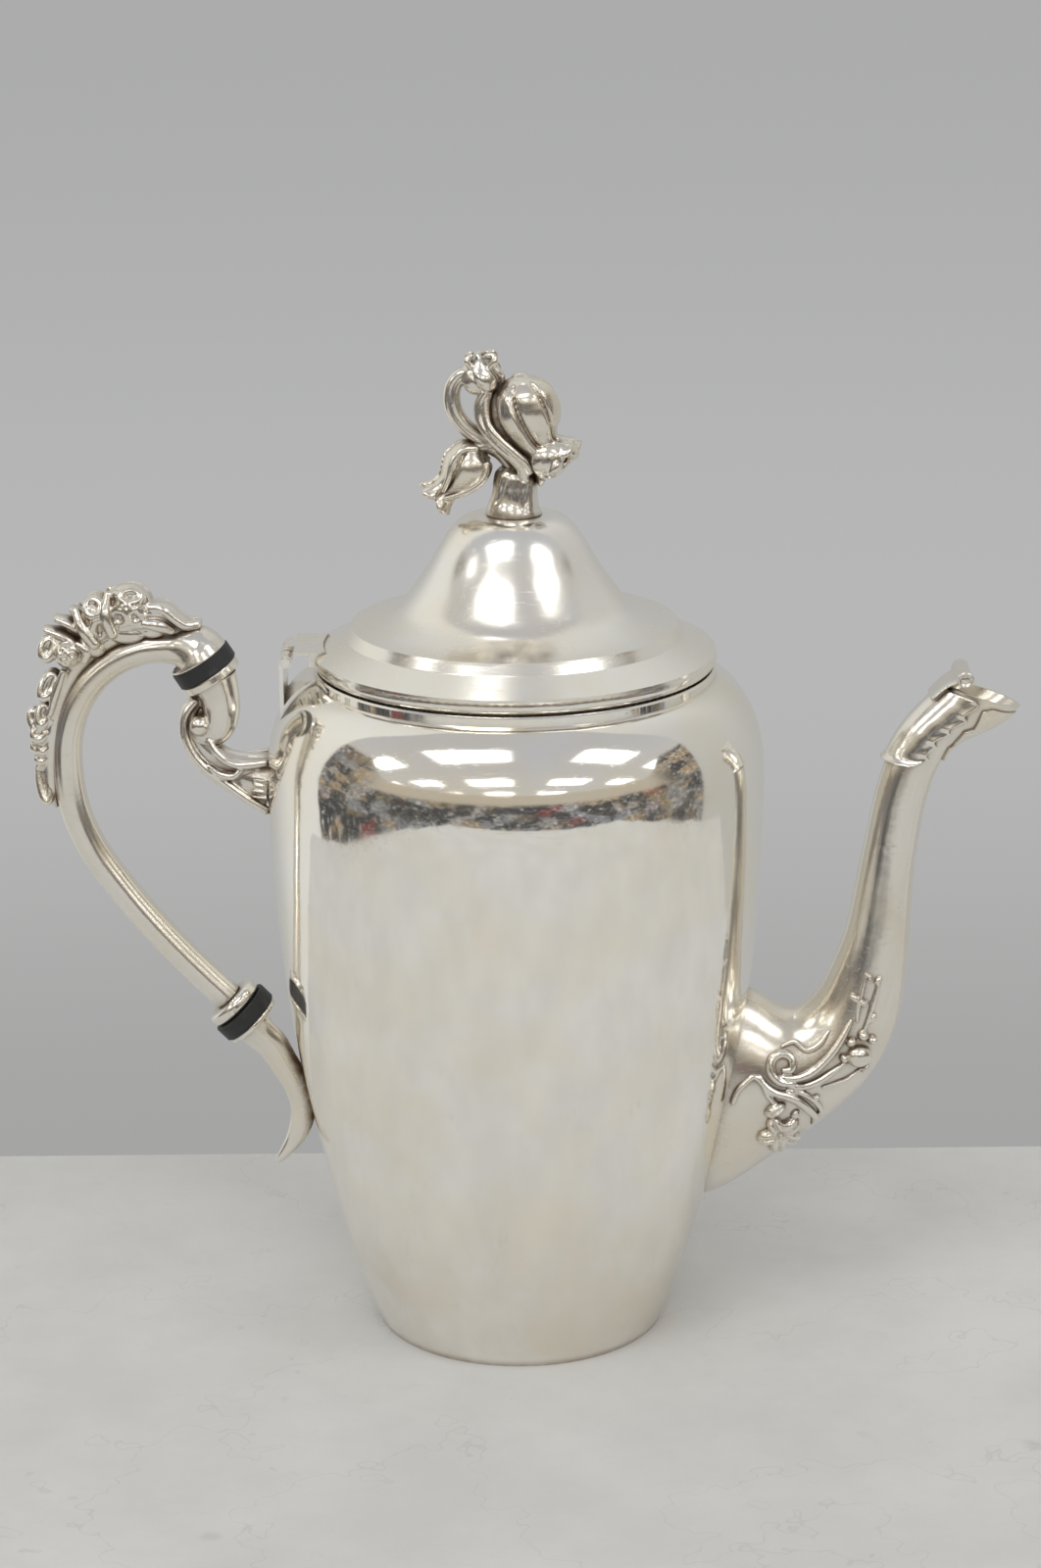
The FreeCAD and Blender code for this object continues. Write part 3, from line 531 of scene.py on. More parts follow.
GRIP_STATIONS = [(-79.12, 0, 177.77, 7.9), (-80.3, 0, 179.5, 7.3), (-82.7, 0, 180.5, 5.8),
                 (-85.3, 0, 180.75, 4.5), (-88.2, 0, 180.7, 4.0), (-92.0, 0, 180.4, 3.9),
                 (-97.5, 0, 178.7, 3.9), (-104.2, 0, 174.4, 3.9), (-109.6, 0, 167.6, 3.9),
                 (-112.7, 0, 159.0, 3.9), (-113.3, 0, 149.5, 3.9), (-111.9, 0, 138.8, 3.9),
                 (-108.0, 0, 128.6, 3.9), (-101.6, 0, 118.6, 3.9), (-94.2, 0, 108.8, 3.9),
                 (-87.0, 0, 100.4, 3.9), (-80.2, 0, 93.1, 3.9), (-74.55, 0, 87.35, 3.9)]


def fluted(s, angle):
    """Two shallow flutes along each side of the grip, with a flatter band between them."""
    height = np.cos(angle)
    flute = np.exp(-((height - 0.52) / 0.11) ** 2) + np.exp(-((height + 0.50) / 0.11) ** 2)
    band = np.exp(-(height / 0.32) ** 2)
    return 1 - (0.045 * flute + 0.02 * band) * soft_step(s, 0.06, 0.14)


def build_grip():
    install("handle_grip_cast", [tube(GRIP_STATIONS, 150, 72, 1.05, fluted, True)], "pot", "silver_cast",
            ["handle_grip"], 0.26, 1)


def cup_on(ball, dx, dz, long, short, thick, tilt=0.0, sunk=0.35):
    """The rim of a cupped petal on the near side of a swelling, dx and dz from its middle."""
    centre, size = np.array(ball[0], float), np.array(ball[1], float)
    share = min(0.96, (dx / size[0]) ** 2 + (dz / size[2]) ** 2)
    offset = np.array([dx, -size[1] * math.sqrt(1 - share), dz])
    facing = unit(offset / size**2)
    return loop(centre + offset - facing * sunk * thick, long, short, thick, tilt, facing)


BIG_BLOOM = ((-96.2, 0, 191.0), (5.9, 5.6, 6.3))
NEXT_BLOOM = ((-104.0, 0, 188.6), (3.9, 4.9, 6.2))
BUD_BALL = ((-111.6, -3.0, 180.0), (3.6, 3.1, 3.6))


def spray_core():
    """The stem along the back of the grip, with the masses of the flowers and folded petals on it."""
    core = tube([(-78.8, 0, 184.4, 0.9), (-84.0, 0, 185.2, 1.9), (-92.0, 0, 185.4, 2.6),
                 (-98.4, 0, 184.6, 2.9), (-104.4, 0, 181.4, 2.9), (-109.2, 0, 177.2, 2.8),
                 (-112.8, 0, 171.4, 2.5), (-115.4, 0, 164.5, 2.4), (-116.8, 0, 157.0, 2.4),
                 (-117.3, 0, 150.0, 2.0), (-117.2, 0, 144.0, 1.6), (-116.8, 0, 139.6, 0.8)],
                80, 20, 1.3)
    parts = [core, blob(*BIG_BLOOM), blob(*NEXT_BLOOM, 0.2),
             blob((-119.4, 0, 159.0), (2.3, 2.6, 5.8), 0.1),
             blob((-116.6, 0, 171.0), (2.1, 2.4, 3.8), 0.4),
             blob((-113.0, 0, 181.6), (4.6, 3.8, 4.2), 0.6),
             blob((-119.1, 0, 146.2), (1.3, 1.3, 5.2), 0.13),
             blob((-90.4, 0, 187.6), (4.2, 4.2, 3.4), -0.2)]
    # The broad blade that lies towards the fibre disc, rolled at its tip.
    parts += [tube([(-91.0, 0, 190.4, 2.4), (-87.2, 0, 189.9, 2.4), (-84.2, 0, 187.9, 1.9),
                    (-81.0, 0, 186.4, 1.3), (-78.8, 0, 186.4, 0.8)], 30, 18, 1.9)]
    # Three folded petals behind the blooms.
    for back, front in (((-117.2, 185.8), (-108.2, 181.6)), ((-114.4, 188.6), (-106.4, 184.4)),
                        ((-110.4, 190.8), (-104.8, 186.6))):
        middle = ((back[0] + front[0]) / 2 - 0.3, (back[1] + front[1]) / 2 + 0.7)
        parts.append(tube([(back[0], 0, back[1], 1.0), (middle[0], 0, middle[1], 1.6),
                           (front[0], 0, front[1], 1.6)], 20, 18, 2.6))
    return parts


def spray_blooms():
    """The petals of the two open flowers and of the long blade, on the near side."""
    return [blob((-97.4, -2.4, 185.2), (5.4, 2.8, 2.8), -0.1),
            blob((-105.4, -2.6, 182.0), (3.6, 2.6, 2.9), -0.5),
            blob((-90.0, -2.4, 185.9), (3.6, 2.4, 2.2), 0.1),
            cup_on(BIG_BLOOM, -3.4, 2.4, 2.0, 1.8, 1.15, 0.7),
            cup_on(BIG_BLOOM, 0.9, 3.9, 2.5, 1.6, 1.15, 0.1),
            cup_on(BIG_BLOOM, 3.9, 1.5, 1.5, 2.3, 1.15),
            cup_on(BIG_BLOOM, -2.0, -1.3, 2.2, 1.9, 1.15, 0.2),
            cup_on(BIG_BLOOM, 2.1, -1.0, 2.0, 1.8, 1.15),
            cup_on(BIG_BLOOM, 0.5, -4.6, 3.4, 1.1, 1.15, 0.2),
            cup_on(BIG_BLOOM, 0.0, 1.3, 0.7, 0.7, 1.0, 0.0, 0.0),
            cup_on(NEXT_BLOOM, -0.7, 3.4, 1.9, 2.1, 1.15, 0.3),
            cup_on(NEXT_BLOOM, 0.7, -1.9, 1.5, 2.4, 1.15),
            tube([(-101.0, -3.2, 195.2, 1.0), (-101.5, -5.1, 190.2, 1.5), (-100.0, -5.0, 185.4, 1.4)],
                 20, 12),
            tube([(-109.2, -2.6, 191.0, 1.0), (-107.7, -4.4, 187.2, 1.5), (-104.6, -4.9, 182.8, 1.5)],
                 20, 12),
            tube([(-90.9, -3.2, 191.6, 1.2), (-87.4, -3.8, 191.2, 1.3), (-84.8, -3.6, 188.9, 1.3),
                  (-81.8, -2.8, 186.8, 1.3), (-79.2, -1.6, 186.8, 1.3)], 40, 14),
            tube([(-92.2, -4.4, 187.8, 1.1), (-88.6, -4.6, 187.4, 1.6), (-85.4, -3.8, 185.8, 1.0)],
                 16, 12)]


def spray_trail():
    """The bud, the small flowers and the leaves that hang down the grip, on the near side."""
    return [blob(*BUD_BALL),
            cup_on(BUD_BALL, -1.2, 1.3, 0.9, 0.8, 0.6),
            cup_on(BUD_BALL, 1.3, 0.3, 0.8, 0.8, 0.6),
            cup_on(BUD_BALL, -0.4, -1.6, 0.8, 0.7, 0.6),
            loop((-116.6, -2.8, 181.2), 2.4, 1.4, 1.3, 1.3),
            tube([(-109.0, -4.0, 182.6, 1.0), (-106.7, -4.4, 181.0, 1.4), (-107.4, -4.2, 178.6, 1.1)],
                 16, 12),
            tube([(-113.0, -3.4, 175.4, 0.8), (-115.2, -3.3, 169.4, 1.0), (-116.8, -3.2, 164.4, 0.8)],
                 20, 12),
            loop((-117.0, -2.0, 171.4), 3.1, 1.4, 1.3, 1.12),
            loop((-118.6, -2.0, 163.8), 2.5, 1.1, 1.2, 1.35),
            loop((-121.0, -1.4, 162.4), 2.3, 0.9, 1.1, 1.8),
            loop((-119.9, -2.4, 159.0), 1.3, 1.3, 1.2),
            loop((-118.9, -2.0, 155.5), 1.2, 0.9, 1.1, 1.2),
            loop((-120.7, -1.7, 155.5), 1.1, 0.8, 1.0, 1.9),
            loop((-119.7, -1.6, 152.3), 1.0, 0.7, 1.0),
            loop((-119.3, -0.8, 145.9), 5.0, 1.2, 1.1, 1.70)]


def spray_parts():
    return spray_core() + both_sides(spray_blooms() + spray_trail())


def build_spray():
    install("handle_spray_cast", spray_parts(), "pot", "silver_cast", ["handle_flower_spray"], 0.24, 3)


def channel(s, angle):
    """A hollow pressed into both sides of the scroll's arm, the same all along it."""
    return (1 - 0.26 * np.exp(-(np.cos(angle) / 0.5) ** 2)) * np.ones_like(s)


def socket_parts():
    """The upper casting of the handle: a neck that ends in a ball, and an arm that sweeps to the body."""
    start = (-75.86, 0, 172.6, 6.2)
    neck = tube([start, (-74.4, 0, 168.2, 5.1), (-74.2, 0, 163.4, 4.8), (-75.4, 0, 159.6, 4.3),
                 (-78.4, 0, 158.2, 3.3), (-80.6, 0, 159.6, 2.5), (-80.4, 0, 161.6, 1.8)],
                60, 28, 0.92, None, True)
    arm = tube([(-80.0, 0, 167.2, 1.9), (-82.2, 0, 163.4, 2.3), (-81.8, 0, 158.4, 3.0),
                (-79.3, 0, 153.9, 4.0), (-75.0, 0, 150.0, 4.9), (-69.6, 0, 147.4, 5.9),
                (-62.3, 0, 146.0, 7.0)], 70, 36, 0.85, channel, True)
    foot = tube([(-69.4, 0, 147.4, 4.6), (-65.6, 0, 146.4, 6.0), (-62.3, 0, 145.8, 7.4)], 20, 28, 0.85,
                None, True)
    near = [blob((-79.4, -3.0, 160.9), (2.6, 2.2, 2.6)),
            tube([(-80.4, -1.0, 166.8, 1.1), (-83.0, -1.4, 163.4, 1.2), (-83.5, -1.8, 159.2, 1.2),
                  (-82.0, -2.4, 154.6, 1.2), (-78.6, -3.0, 150.2, 1.2), (-73.2, -3.6, 146.0, 1.2),
                  (-68.4, -4.1, 142.4, 1.2), (-63.0, -4.6, 139.0, 1.1)], 70, 14),
            tube([(-77.0, -3.0, 157.0, 0.9), (-75.2, -3.8, 154.0, 1.0), (-72.6, -4.3, 151.9, 1.0),
                  (-70.0, -4.7, 151.0, 1.0), (-66.6, -5.1, 151.2, 1.0), (-62.8, -5.5, 151.8, 0.9)],
                  50, 14),
            tube([(-77.4, -3.6, 150.6, 0.5), (-74.0, -4.4, 148.4, 0.9), (-71.0, -4.9, 148.2, 0.9),
                  (-69.2, -5.1, 149.8, 0.6)], 24, 12)]
    for rib in range(4):
        height = 142.8 + rib * 1.5
        near.append(tube([(-66.4 + 0.2 * rib, -5.2, height + 0.2, 0.3), (-64.6, -5.6, height, 0.35),
                          (-62.8, -5.9, height - 0.2, 0.35)], 14, 10))
    return [neck, arm, foot] + both_sides(near)


def build_socket():
    install("handle_upper_scroll", socket_parts(), "pot", "silver_cast", ["handle_upper_socket"], 0.24, 2)


# ---------------------------------------------------------------- spout

# The two edges of the upper spout, as (x, z).
SPOUT_INNER = [(86.2, 116.0), (89.3, 133.0), (92.6, 147.0), (98.4, 159.0), (108.0, 169.6)]
SPOUT_OUTER = [(101.0, 115.5), (103.0, 134.0), (106.3, 146.8), (112.2, 154.4), (127.0, 163.6)]


def surface_tree(node):
    """The outside of a CAD node, in millimetres, ready for ray casting."""
    mesh = nodes[node].data
    points = [v.co / MM for v in mesh.vertices]
    return BVHTree.FromPolygons(points, [tuple(p.vertices) for p in mesh.polygons])


spout_tree = surface_tree("spout_shell")


def on_spout(share, angle, lift):
    """A point on the upper spout: 'share' along it, 'angle' around it from its outer edge."""
    spot = share * (len(SPOUT_INNER) - 1)
    at = min(int(spot), len(SPOUT_INNER) - 2)
    part = spot - at
    inner = np.array(SPOUT_INNER[at]) * (1 - part) + np.array(SPOUT_INNER[at + 1]) * part
    outer = np.array(SPOUT_OUTER[at]) * (1 - part) + np.array(SPOUT_OUTER[at + 1]) * part
    middle, reach = (inner + outer) / 2, unit(outer - inner)
    centre = Vector((middle[0], 0, middle[1]))
    out = Vector((reach[0] * math.cos(angle), math.sin(angle), reach[1] * math.cos(angle)))
    hit, normal, _, _ = spout_tree.ray_cast(centre + out * 25, -out)
    if hit is None:
        hit, normal = centre + out * 7, out
    if normal.dot(out) < 0:
        normal = -normal
    return np.array(hit + (normal * 0.6 + out * 0.4) * lift)


def leaf_on_spout(rows, columns, share_range, angle_at, lift_at, sunk):
    """A sheet of leaf lying on the spout between two shares of its length."""
    top, base = np.zeros((rows, columns, 3)), np.zeros((rows, columns, 3))
    for i in range(rows):
        s = i / (rows - 1)
        share = share_range[0] + (share_range[1] - share_range[0]) * s
        for j in range(columns):
            v = 2 * j / (columns - 1) - 1
            angle = angle_at(s, v)
            top[i, j] = on_spout(share, angle, lift_at(s, v))
            base[i, j] = on_spout(share, angle, -sunk)
    return slab(top, base)


def saw(value):
    """A slow rise and a quick fall, as on the cut edge of a leaf."""
    part = value % 1.0
    return part if part < 0.8 else (1 - part) * 4


# For both leaves, s runs up the spout from 0 to 1, and v from edge to edge, -1 to 1.

def upper_leaf_angle(s, v):
    reach = 1.55 + 0.28 * saw(s * 5.0) - 0.25 * max(0.0, s - 0.75) / 0.25
    start_round = math.sqrt(max(0.0, 1 - max(0.0, 1 - s / 0.12) ** 2)) * 0.35 + 0.65
    return math.pi + v * reach * start_round


def upper_leaf_lift(s, v):
    vein = 0.06 * abs(math.sin(5 * math.pi * s + 2.2 * abs(v)))
    edge = 0.35 * math.exp(-((1 - abs(v)) / 0.10) ** 2)
    lip = 0.9 * math.exp(-(s / 0.05) ** 2)
    return 0.9 + edge + lip + vein * abs(v) ** 2


def under_leaf_angle(s, v):
    reach = (0.55 + 0.85 * s) * (0.80 + 0.24 * saw(s * 3.0))
    return v * reach


def under_leaf_lift(s, v):
    return 0.45 + 0.45 * math.exp(-((1 - abs(v)) / 0.2) ** 2)


CURL_AXIS = (112.4, 171.8)


def curl_parts():
    """The rolled end of the leaf: a bar across the spout, with a ring sunk into both ends."""
    sides = 28
    turn = np.linspace(0, FULL_TURN, sides, endpoint=False)
    profile = [(0.02, -6.6), (0.7, -6.6), (1.2, -6.3), (1.5, -6.9), (1.9, -6.95), (2.2, -6.6),
               (2.05, -5.5), (2.0, 0.0), (2.05, 5.5), (2.2, 6.6), (1.9, 6.95), (1.5, 6.9), (1.2, 6.3),
               (0.7, 6.6), (0.02, 6.6)]
    x, z = CURL_AXIS
    rows = [[(x + r * math.cos(a), y, z + r * math.sin(a)) for a in turn] for r, y in profile]
    faces = grid_faces(len(rows), sides, True)
    faces += [tuple(range(sides))[::-1], tuple(range((len(rows) - 1) * sides, len(rows) * sides))]
    roll = (np.array(rows).reshape(-1, 3), faces)
    neck = tube([(104.6, 0, 166.6, 0.7), (108.2, 0, 169.9, 0.8), (110.8, 0, 171.3, 0.9),
                 (112.2, 0, 172.6, 0.9)], 20, 24, 7.2)
    return [roll, neck]


def build_spout_leaf():
    upper = leaf_on_spout(80, 61, (0.56, 0.985), upper_leaf_angle, upper_leaf_lift, 0.5)
    install("spout_leaf_and_curl", [upper] + curl_parts(), "pot", "silver_cast", ["spout_leaf"], 0.24, 2)
    under = leaf_on_spout(70, 45, (0.60, 0.97), under_leaf_angle, under_leaf_lift, 0.5)
    install("spout_under_leaf", [under], "pot", "silver_cast", [], 0.24, 1)


def on_flank(x, z, lift=0.0):
    """A point on the near flank of the spout, and the way it faces."""
    hit, normal, _, _ = spout_tree.ray_cast(Vector((x, -40, z)), Vector((0, 1, 0)))
    if hit is None:
        hit, normal, _, _ = spout_tree.find_nearest(Vector((x, -8, z)))
    if normal.y > 0:
        normal = -normal
    return np.array(hit + normal * lift), np.array(normal)


def vine(points, radius, ends=None):
    """A stem lying half sunk on the flank, through (x, z) places."""
    radius = 1.45 * radius
    ends = 1.3 * ends if ends else radius
    stations = smooth_path([(x, 0, z, radius) for x, z in points], 8 * len(points))
    line = []
    for i, (x, _, z, r) in enumerate(stations):
        share = abs(2 * i / (len(stations) - 1) - 1)
        size = radius + (ends - radius) * share ** 3
        line.append((*on_flank(x, z, size * 0.40)[0], size))
    return tube(line, 10 * len(points), 12)


def dome(x, z, long, short, tilt, height, crease=0.0):
    """A petal, leaf or berry standing on the flank: an oval swelling, creased along its length."""
    rings, spokes = 9, 28
    cos_t, sin_t = math.cos(tilt), math.sin(tilt)
    top, base = np.zeros((rings, spokes, 3)), np.zeros((rings, spokes, 3))
    for i in range(rings):
        share = (i + 0.2) / (rings - 0.8)
        for j in range(spokes):
            u = share * math.cos(FULL_TURN * j / spokes)
            v = share * math.sin(FULL_TURN * j / spokes)
            px = x + u * long * cos_t - v * short * sin_t
            pz = z + u * long * sin_t + v * short * cos_t
            swell = math.sqrt(max(0.0, 1 - share ** 2))
            rise = 1.35 * height * swell * (1 - crease * math.exp(-(v / 0.22) ** 2))
            top[i, j] = on_flank(px, pz, rise)[0]
            base[i, j] = on_flank(px, pz, -0.45)[0]
    points = np.vstack([top.reshape(-1, 3), base.reshape(-1, 3)])
    under = rings * spokes
    faces = grid_faces(rings, spokes, True) + [f[::-1] for f in grid_faces(rings, spokes, True, under)]
    faces += [tuple(range(spokes))[::-1], tuple(range(under, under + spokes))]
    last = (rings - 1) * spokes
    for j in range(spokes):
        k = (j + 1) % spokes
        faces.append((last + j, last + k, under + last + k, under + last + j))
    return points, faces


FLOWER_PLACE = (66.9, 53.0)
FLOWER_REACH = 3.3


def relief_parts():
    """Scrolling stems, a five-petalled flower, buds and leaves on the near flank, placed by (x, z)."""
    parts = [vine([(54.6, 62.9), (55.6, 65.6), (57.6, 67.8), (60.1, 69.4), (62.1, 67.8), (63.6, 64.6),
                   (65.6, 62.0)], 0.55),
             vine([(61.4, 69.6), (63.0, 67.0), (65.4, 65.2), (68.4, 64.2), (71.4, 62.6), (74.0, 60.0),
                   (75.8, 57.2), (75.6, 54.4)], 0.8, 0.4),
             vine([(68.2, 65.6), (72.2, 64.8), (75.8, 62.0), (77.4, 58.6), (76.4, 56.2)], 0.55, 0.3),
             vine([(70.4, 67.4), (66.6, 68.0), (64.4, 70.6), (64.8, 73.6), (67.4, 74.8), (69.8, 73.4),
                   (69.6, 71.0), (67.6, 70.8)], 0.85, 0.6),
             vine([(66.1, 69.4), (70.1, 68.8), (74.1, 69.9), (78.1, 73.1), (82.1, 78.0), (84.9, 83.3)],
                  0.85, 0.4),
             vine([(68.6, 66.8), (72.6, 66.6), (76.4, 67.8), (79.9, 69.9), (83.4, 72.0)], 0.7, 0.4),
             vine([(67.2, 76.4), (70.4, 77.4), (73.6, 75.6), (76.2, 76.6), (79.4, 80.4)], 0.6, 0.3),
             vine([(77.6, 65.9), (81.0, 66.6), (84.4, 67.6), (87.6, 69.8)], 0.5, 0.3),
             vine([(87.6, 79.2), (89.2, 83.5), (90.7, 88.8), (91.9, 93.6)], 0.45, 0.3),
             vine([(86.4, 83.0), (86.8, 87.0), (87.6, 91.0), (88.6, 95.6)], 0.4, 0.3)]
    for angle in range(5):
        tilt = 0.75 + angle * FULL_TURN / 5
        x = FLOWER_PLACE[0] + FLOWER_REACH * math.cos(tilt)
        z = FLOWER_PLACE[1] + FLOWER_REACH * math.sin(tilt)
        parts.append(dome(x, z, 2.9, 2.2, tilt, 1.8, 0.4))
    parts += [dome(*FLOWER_PLACE, 0.9, 0.9, 0, 1.4), dome(65.4, 60.6, 3.2, 1.7, 0.5, 1.9, 0.3),
              dome(70.6, 58.8, 1.6, 1.0, 0.9, 1.0, 0.3), dome(76.2, 63.4, 0.9, 0.7, 0, 0.9),
              dome(86.9, 73.8, 3.3, 3.1, 0, 2.2), dome(83.0, 73.6, 1.2, 1.3, 0, 1.5),
              dome(84.9, 77.8, 1.6, 1.2, 0.6, 1.5), dome(87.8, 79.4, 1.5, 1.3, 1.2, 1.7),
              dome(90.2, 78.0, 1.4, 1.2, 0, 1.6), dome(88.8, 69.6, 1.4, 0.8, 0.9, 0.9),
              dome(85.8, 89.2, 1.5, 0.9, -0.9, 1.2, 0.2), dome(88.2, 87.9, 1.3, 0.9, 0.1, 1.2, 0.2),
              dome(90.3, 83.8, 1.6, 0.8, 0.9, 0.9, 0.4), dome(91.6, 93.9, 1.4, 0.8, 0.9, 1.1, 0.2),
              dome(89.6, 94.6, 1.0, 0.6, 1.8, 0.9)]
    return parts


def build_relief():
    """The same flowers on both flanks of the spout."""
    near = relief_parts()
    install("spout_relief_front", near, "pot", "silver_cast", [], 0.22, 1)
    install("spout_relief_back", [mirrored(part) for part in near], "pot", "silver_cast", [], 0.22, 1)


build_finial()
build_grip()
build_spray()
build_socket()
build_spout_leaf()
build_relief()


# ---------------------------------------------------------------- studio

# Metres. The far edge lies just behind the pot.
FLOOR_CORNERS = [(-0.56, -1.0, 0), (0.72, -0.72, 0), (0.52, 0.106, 0), (-0.47, 0.106, 0)]


def floor_material():
    """Pale painted board, mottled and a little scuffed."""
    material, tree, shader = new_material("floor_paint")
    vector = place(tree)
    patch = noise_value(tree, vector, 0.012, 6.0, 0.65)
    speck = noise_value(tree, vector, 0.12, 5.0, 0.75)
    tone = blend_colour(tree, ramp(tree, patch, 0.3, 0.7, 0.0, 1.0), (0.64, 0.64, 0.628, 1.0),
                        (0.72, 0.72, 0.708, 1.0))
    tone = blend_colour(tree, ramp(tree, speck, 0.55, 0.75, 0.0, 0.5), tone, (0.62, 0.62, 0.61, 1.0))
    # A few grey marks and hair cracks.
    spot = noise_value(tree, vector, 0.045, 2.0)
    tone = blend_colour(tree, ramp(tree, spot, 0.70, 0.78, 0.0, 0.35), tone, (0.42, 0.41, 0.39, 1.0))
    vein = noise_value(tree, vector, 0.008, 5.0, 0.6)
    vein = maths(tree, "ABSOLUTE", maths(tree, "SUBTRACT", vein, 0.5), 0)
    tone = blend_colour(tree, ramp(tree, vein, 0.0, 0.0025, 0.22, 0.0), tone, (0.40, 0.39, 0.37, 1.0))
    tree.links.new(tone, shader.inputs["Base Color"])
    shader.inputs["Roughness"].default_value = 0.75
    bump = add(tree, "ShaderNodeBump", Strength=0.25, Distance=0.4 * MM)
    tree.links.new(speck, bump.inputs["Height"])
    tree.links.new(bump.outputs[0], shader.inputs["Normal"])
    return material


def make_floor():
    mesh = bpy.data.meshes.new("floor")
    mesh.from_pydata(FLOOR_CORNERS, [], [(0, 1, 2, 3)])
    floor = bpy.data.objects.new("floor", mesh)
    bpy.context.scene.collection.objects.link(floor)
    mesh.materials.append(floor_material())


# The lamps of the mirrored room, across and ahead, in heights of its ceiling.
LAMP_PITCH = (1.28, 1.17)
LAMP_FIRST = (-0.40, 0.62)
LAMP_HALF = (0.33, 0.20)
LAMP_COLOUR = (4.2, 4.2, 4.1, 1.0)


def lamp_stripe(tree, value, first, pitch, half):
    """1 inside a repeating band of the ceiling, 0 outside it, with soft edges."""
    shifted = maths(tree, "ADD", maths(tree, "SUBTRACT", value, first), pitch / 2)
    folded = maths(tree, "ABSOLUTE", maths(tree, "SUBTRACT",
                                           maths(tree, "FLOORED_MODULO", shifted, pitch), pitch / 2), 0)
    return ramp(tree, folded, half * 0.78, half * 1.2, 1.0, 0.0)


def sweep_colours(tree, x, y, z):
    """The grey sweep as the camera sees it, and the brighter one that the silver mirrors."""
    plain = blend_colour(tree, ramp(tree, z, -0.38, -0.26, 0.0, 1.0), (0.375, 0.375, 0.372, 1.0),
                         (0.474, 0.474, 0.474, 1.0))
    plain = blend_colour(tree, ramp(tree, z, -0.25, -0.085, 0.0, 1.0), plain, (0.413, 0.413, 0.416, 1.0))
    bright = blend_colour(tree, ramp(tree, z, -0.3, 0.6, 0.0, 1.0), (0.53, 0.53, 0.52, 1.0),
                          (0.66, 0.66, 0.64, 1.0))
    bright = blend_colour(tree, ramp(tree, x, -0.95, 0.0, 0.6, 0.0), bright, (0.85, 0.84, 0.785, 1.0))
    bright = blend_colour(tree, ramp(tree, y, 0.55, 0.95, 0.0, 0.85), bright, (0.43, 0.43, 0.42, 1.0))
    bright = blend_colour(tree, ramp(tree, x, 0.2, 0.95, 0.0, 0.6), bright, (0.42, 0.41, 0.375, 1.0))
    return plain, bright


def room_goods(tree, direction):
    """Shelves and boxes, as blocks of muted colour."""
    stretch = add(tree, "ShaderNodeMapping")
    stretch.inputs["Scale"].default_value = (7.0, 7.0, 11.0)
    tree.links.new(direction, stretch.inputs["Vector"])
    blocks = add(tree, "ShaderNodeTexVoronoi", distance="CHEBYCHEV", Scale=1.0)
    tree.links.new(stretch.outputs[0], blocks.inputs["Vector"])
    pick = add(tree, "ShaderNodeSeparateColor")
    tree.links.new(blocks.outputs["Color"], pick.inputs[0])
    brown, red, grey = pick.outputs[0], pick.outputs[1], pick.outputs[2]
    goods = blend_colour(tree, ramp(tree, brown, 0.40, 0.95, 0.0, 1.0), (0.035, 0.034, 0.036, 1.0),
                         (0.38, 0.29, 0.18, 1.0))
    goods = blend_colour(tree, ramp(tree, red, 0.93, 0.95, 0.0, 0.6), goods, (0.30, 0.05, 0.045, 1.0))
    goods = blend_colour(tree, ramp(tree, grey, 0.55, 0.8, 0.0, 0.7), goods, (0.30, 0.31, 0.34, 1.0))
    fine = noise_value(tree, stretch.outputs[0], 5.0, 2.0)
    goods = blend_colour(tree, ramp(tree, fine, 0.60, 0.68, 0.0, 0.8), goods, (0.75, 0.74, 0.70, 1.0))
    return blend_colour(tree, ramp(tree, fine, 0.50, 0.36, 0.0, 0.85), goods, (0.02, 0.02, 0.022, 1.0))


def room_colour(tree, goods, y, z, across):
    """Shelves up to a low wall, a ceiling above them, and a grid of soft lamps on the ceiling."""
    wall = blend_colour(tree, ramp(tree, z, 0.10, 0.16, 0.0, 1.0), goods, (0.46, 0.41, 0.33, 1.0))
    # The shelves stand taller at both sides than in the middle.
    side = ramp(tree, y, -0.45, -0.15, 0.0, 1.0)
    wall = blend_colour(tree, side, wall, goods)
    rise = maths(tree, "SUBTRACT", z, maths(tree, "MULTIPLY", side, 0.20))
    ceiling = blend_colour(tree, ramp(tree, z, 0.30, 0.9, 0.0, 1.0), (0.52, 0.50, 0.47, 1.0),
                           (0.46, 0.46, 0.48, 1.0))
    room = blend_colour(tree, ramp(tree, rise, 0.27, 0.31, 0.0, 1.0), wall, ceiling)
    ahead = maths(tree, "DIVIDE", maths(tree, "MULTIPLY", y, -1.0), maths(tree, "MAXIMUM", z, 0.05))
    lamp = maths(tree, "MULTIPLY", lamp_stripe(tree, across, LAMP_FIRST[0], LAMP_PITCH[0], LAMP_HALF[0]),
                 lamp_stripe(tree, ahead, LAMP_FIRST[1], LAMP_PITCH[1], LAMP_HALF[1]))
    lamp = maths(tree, "MULTIPLY", lamp, ramp(tree, rise, 0.28, 0.32, 0.0, 1.0))
    return blend_colour(tree, lamp, room, LAMP_COLOUR)


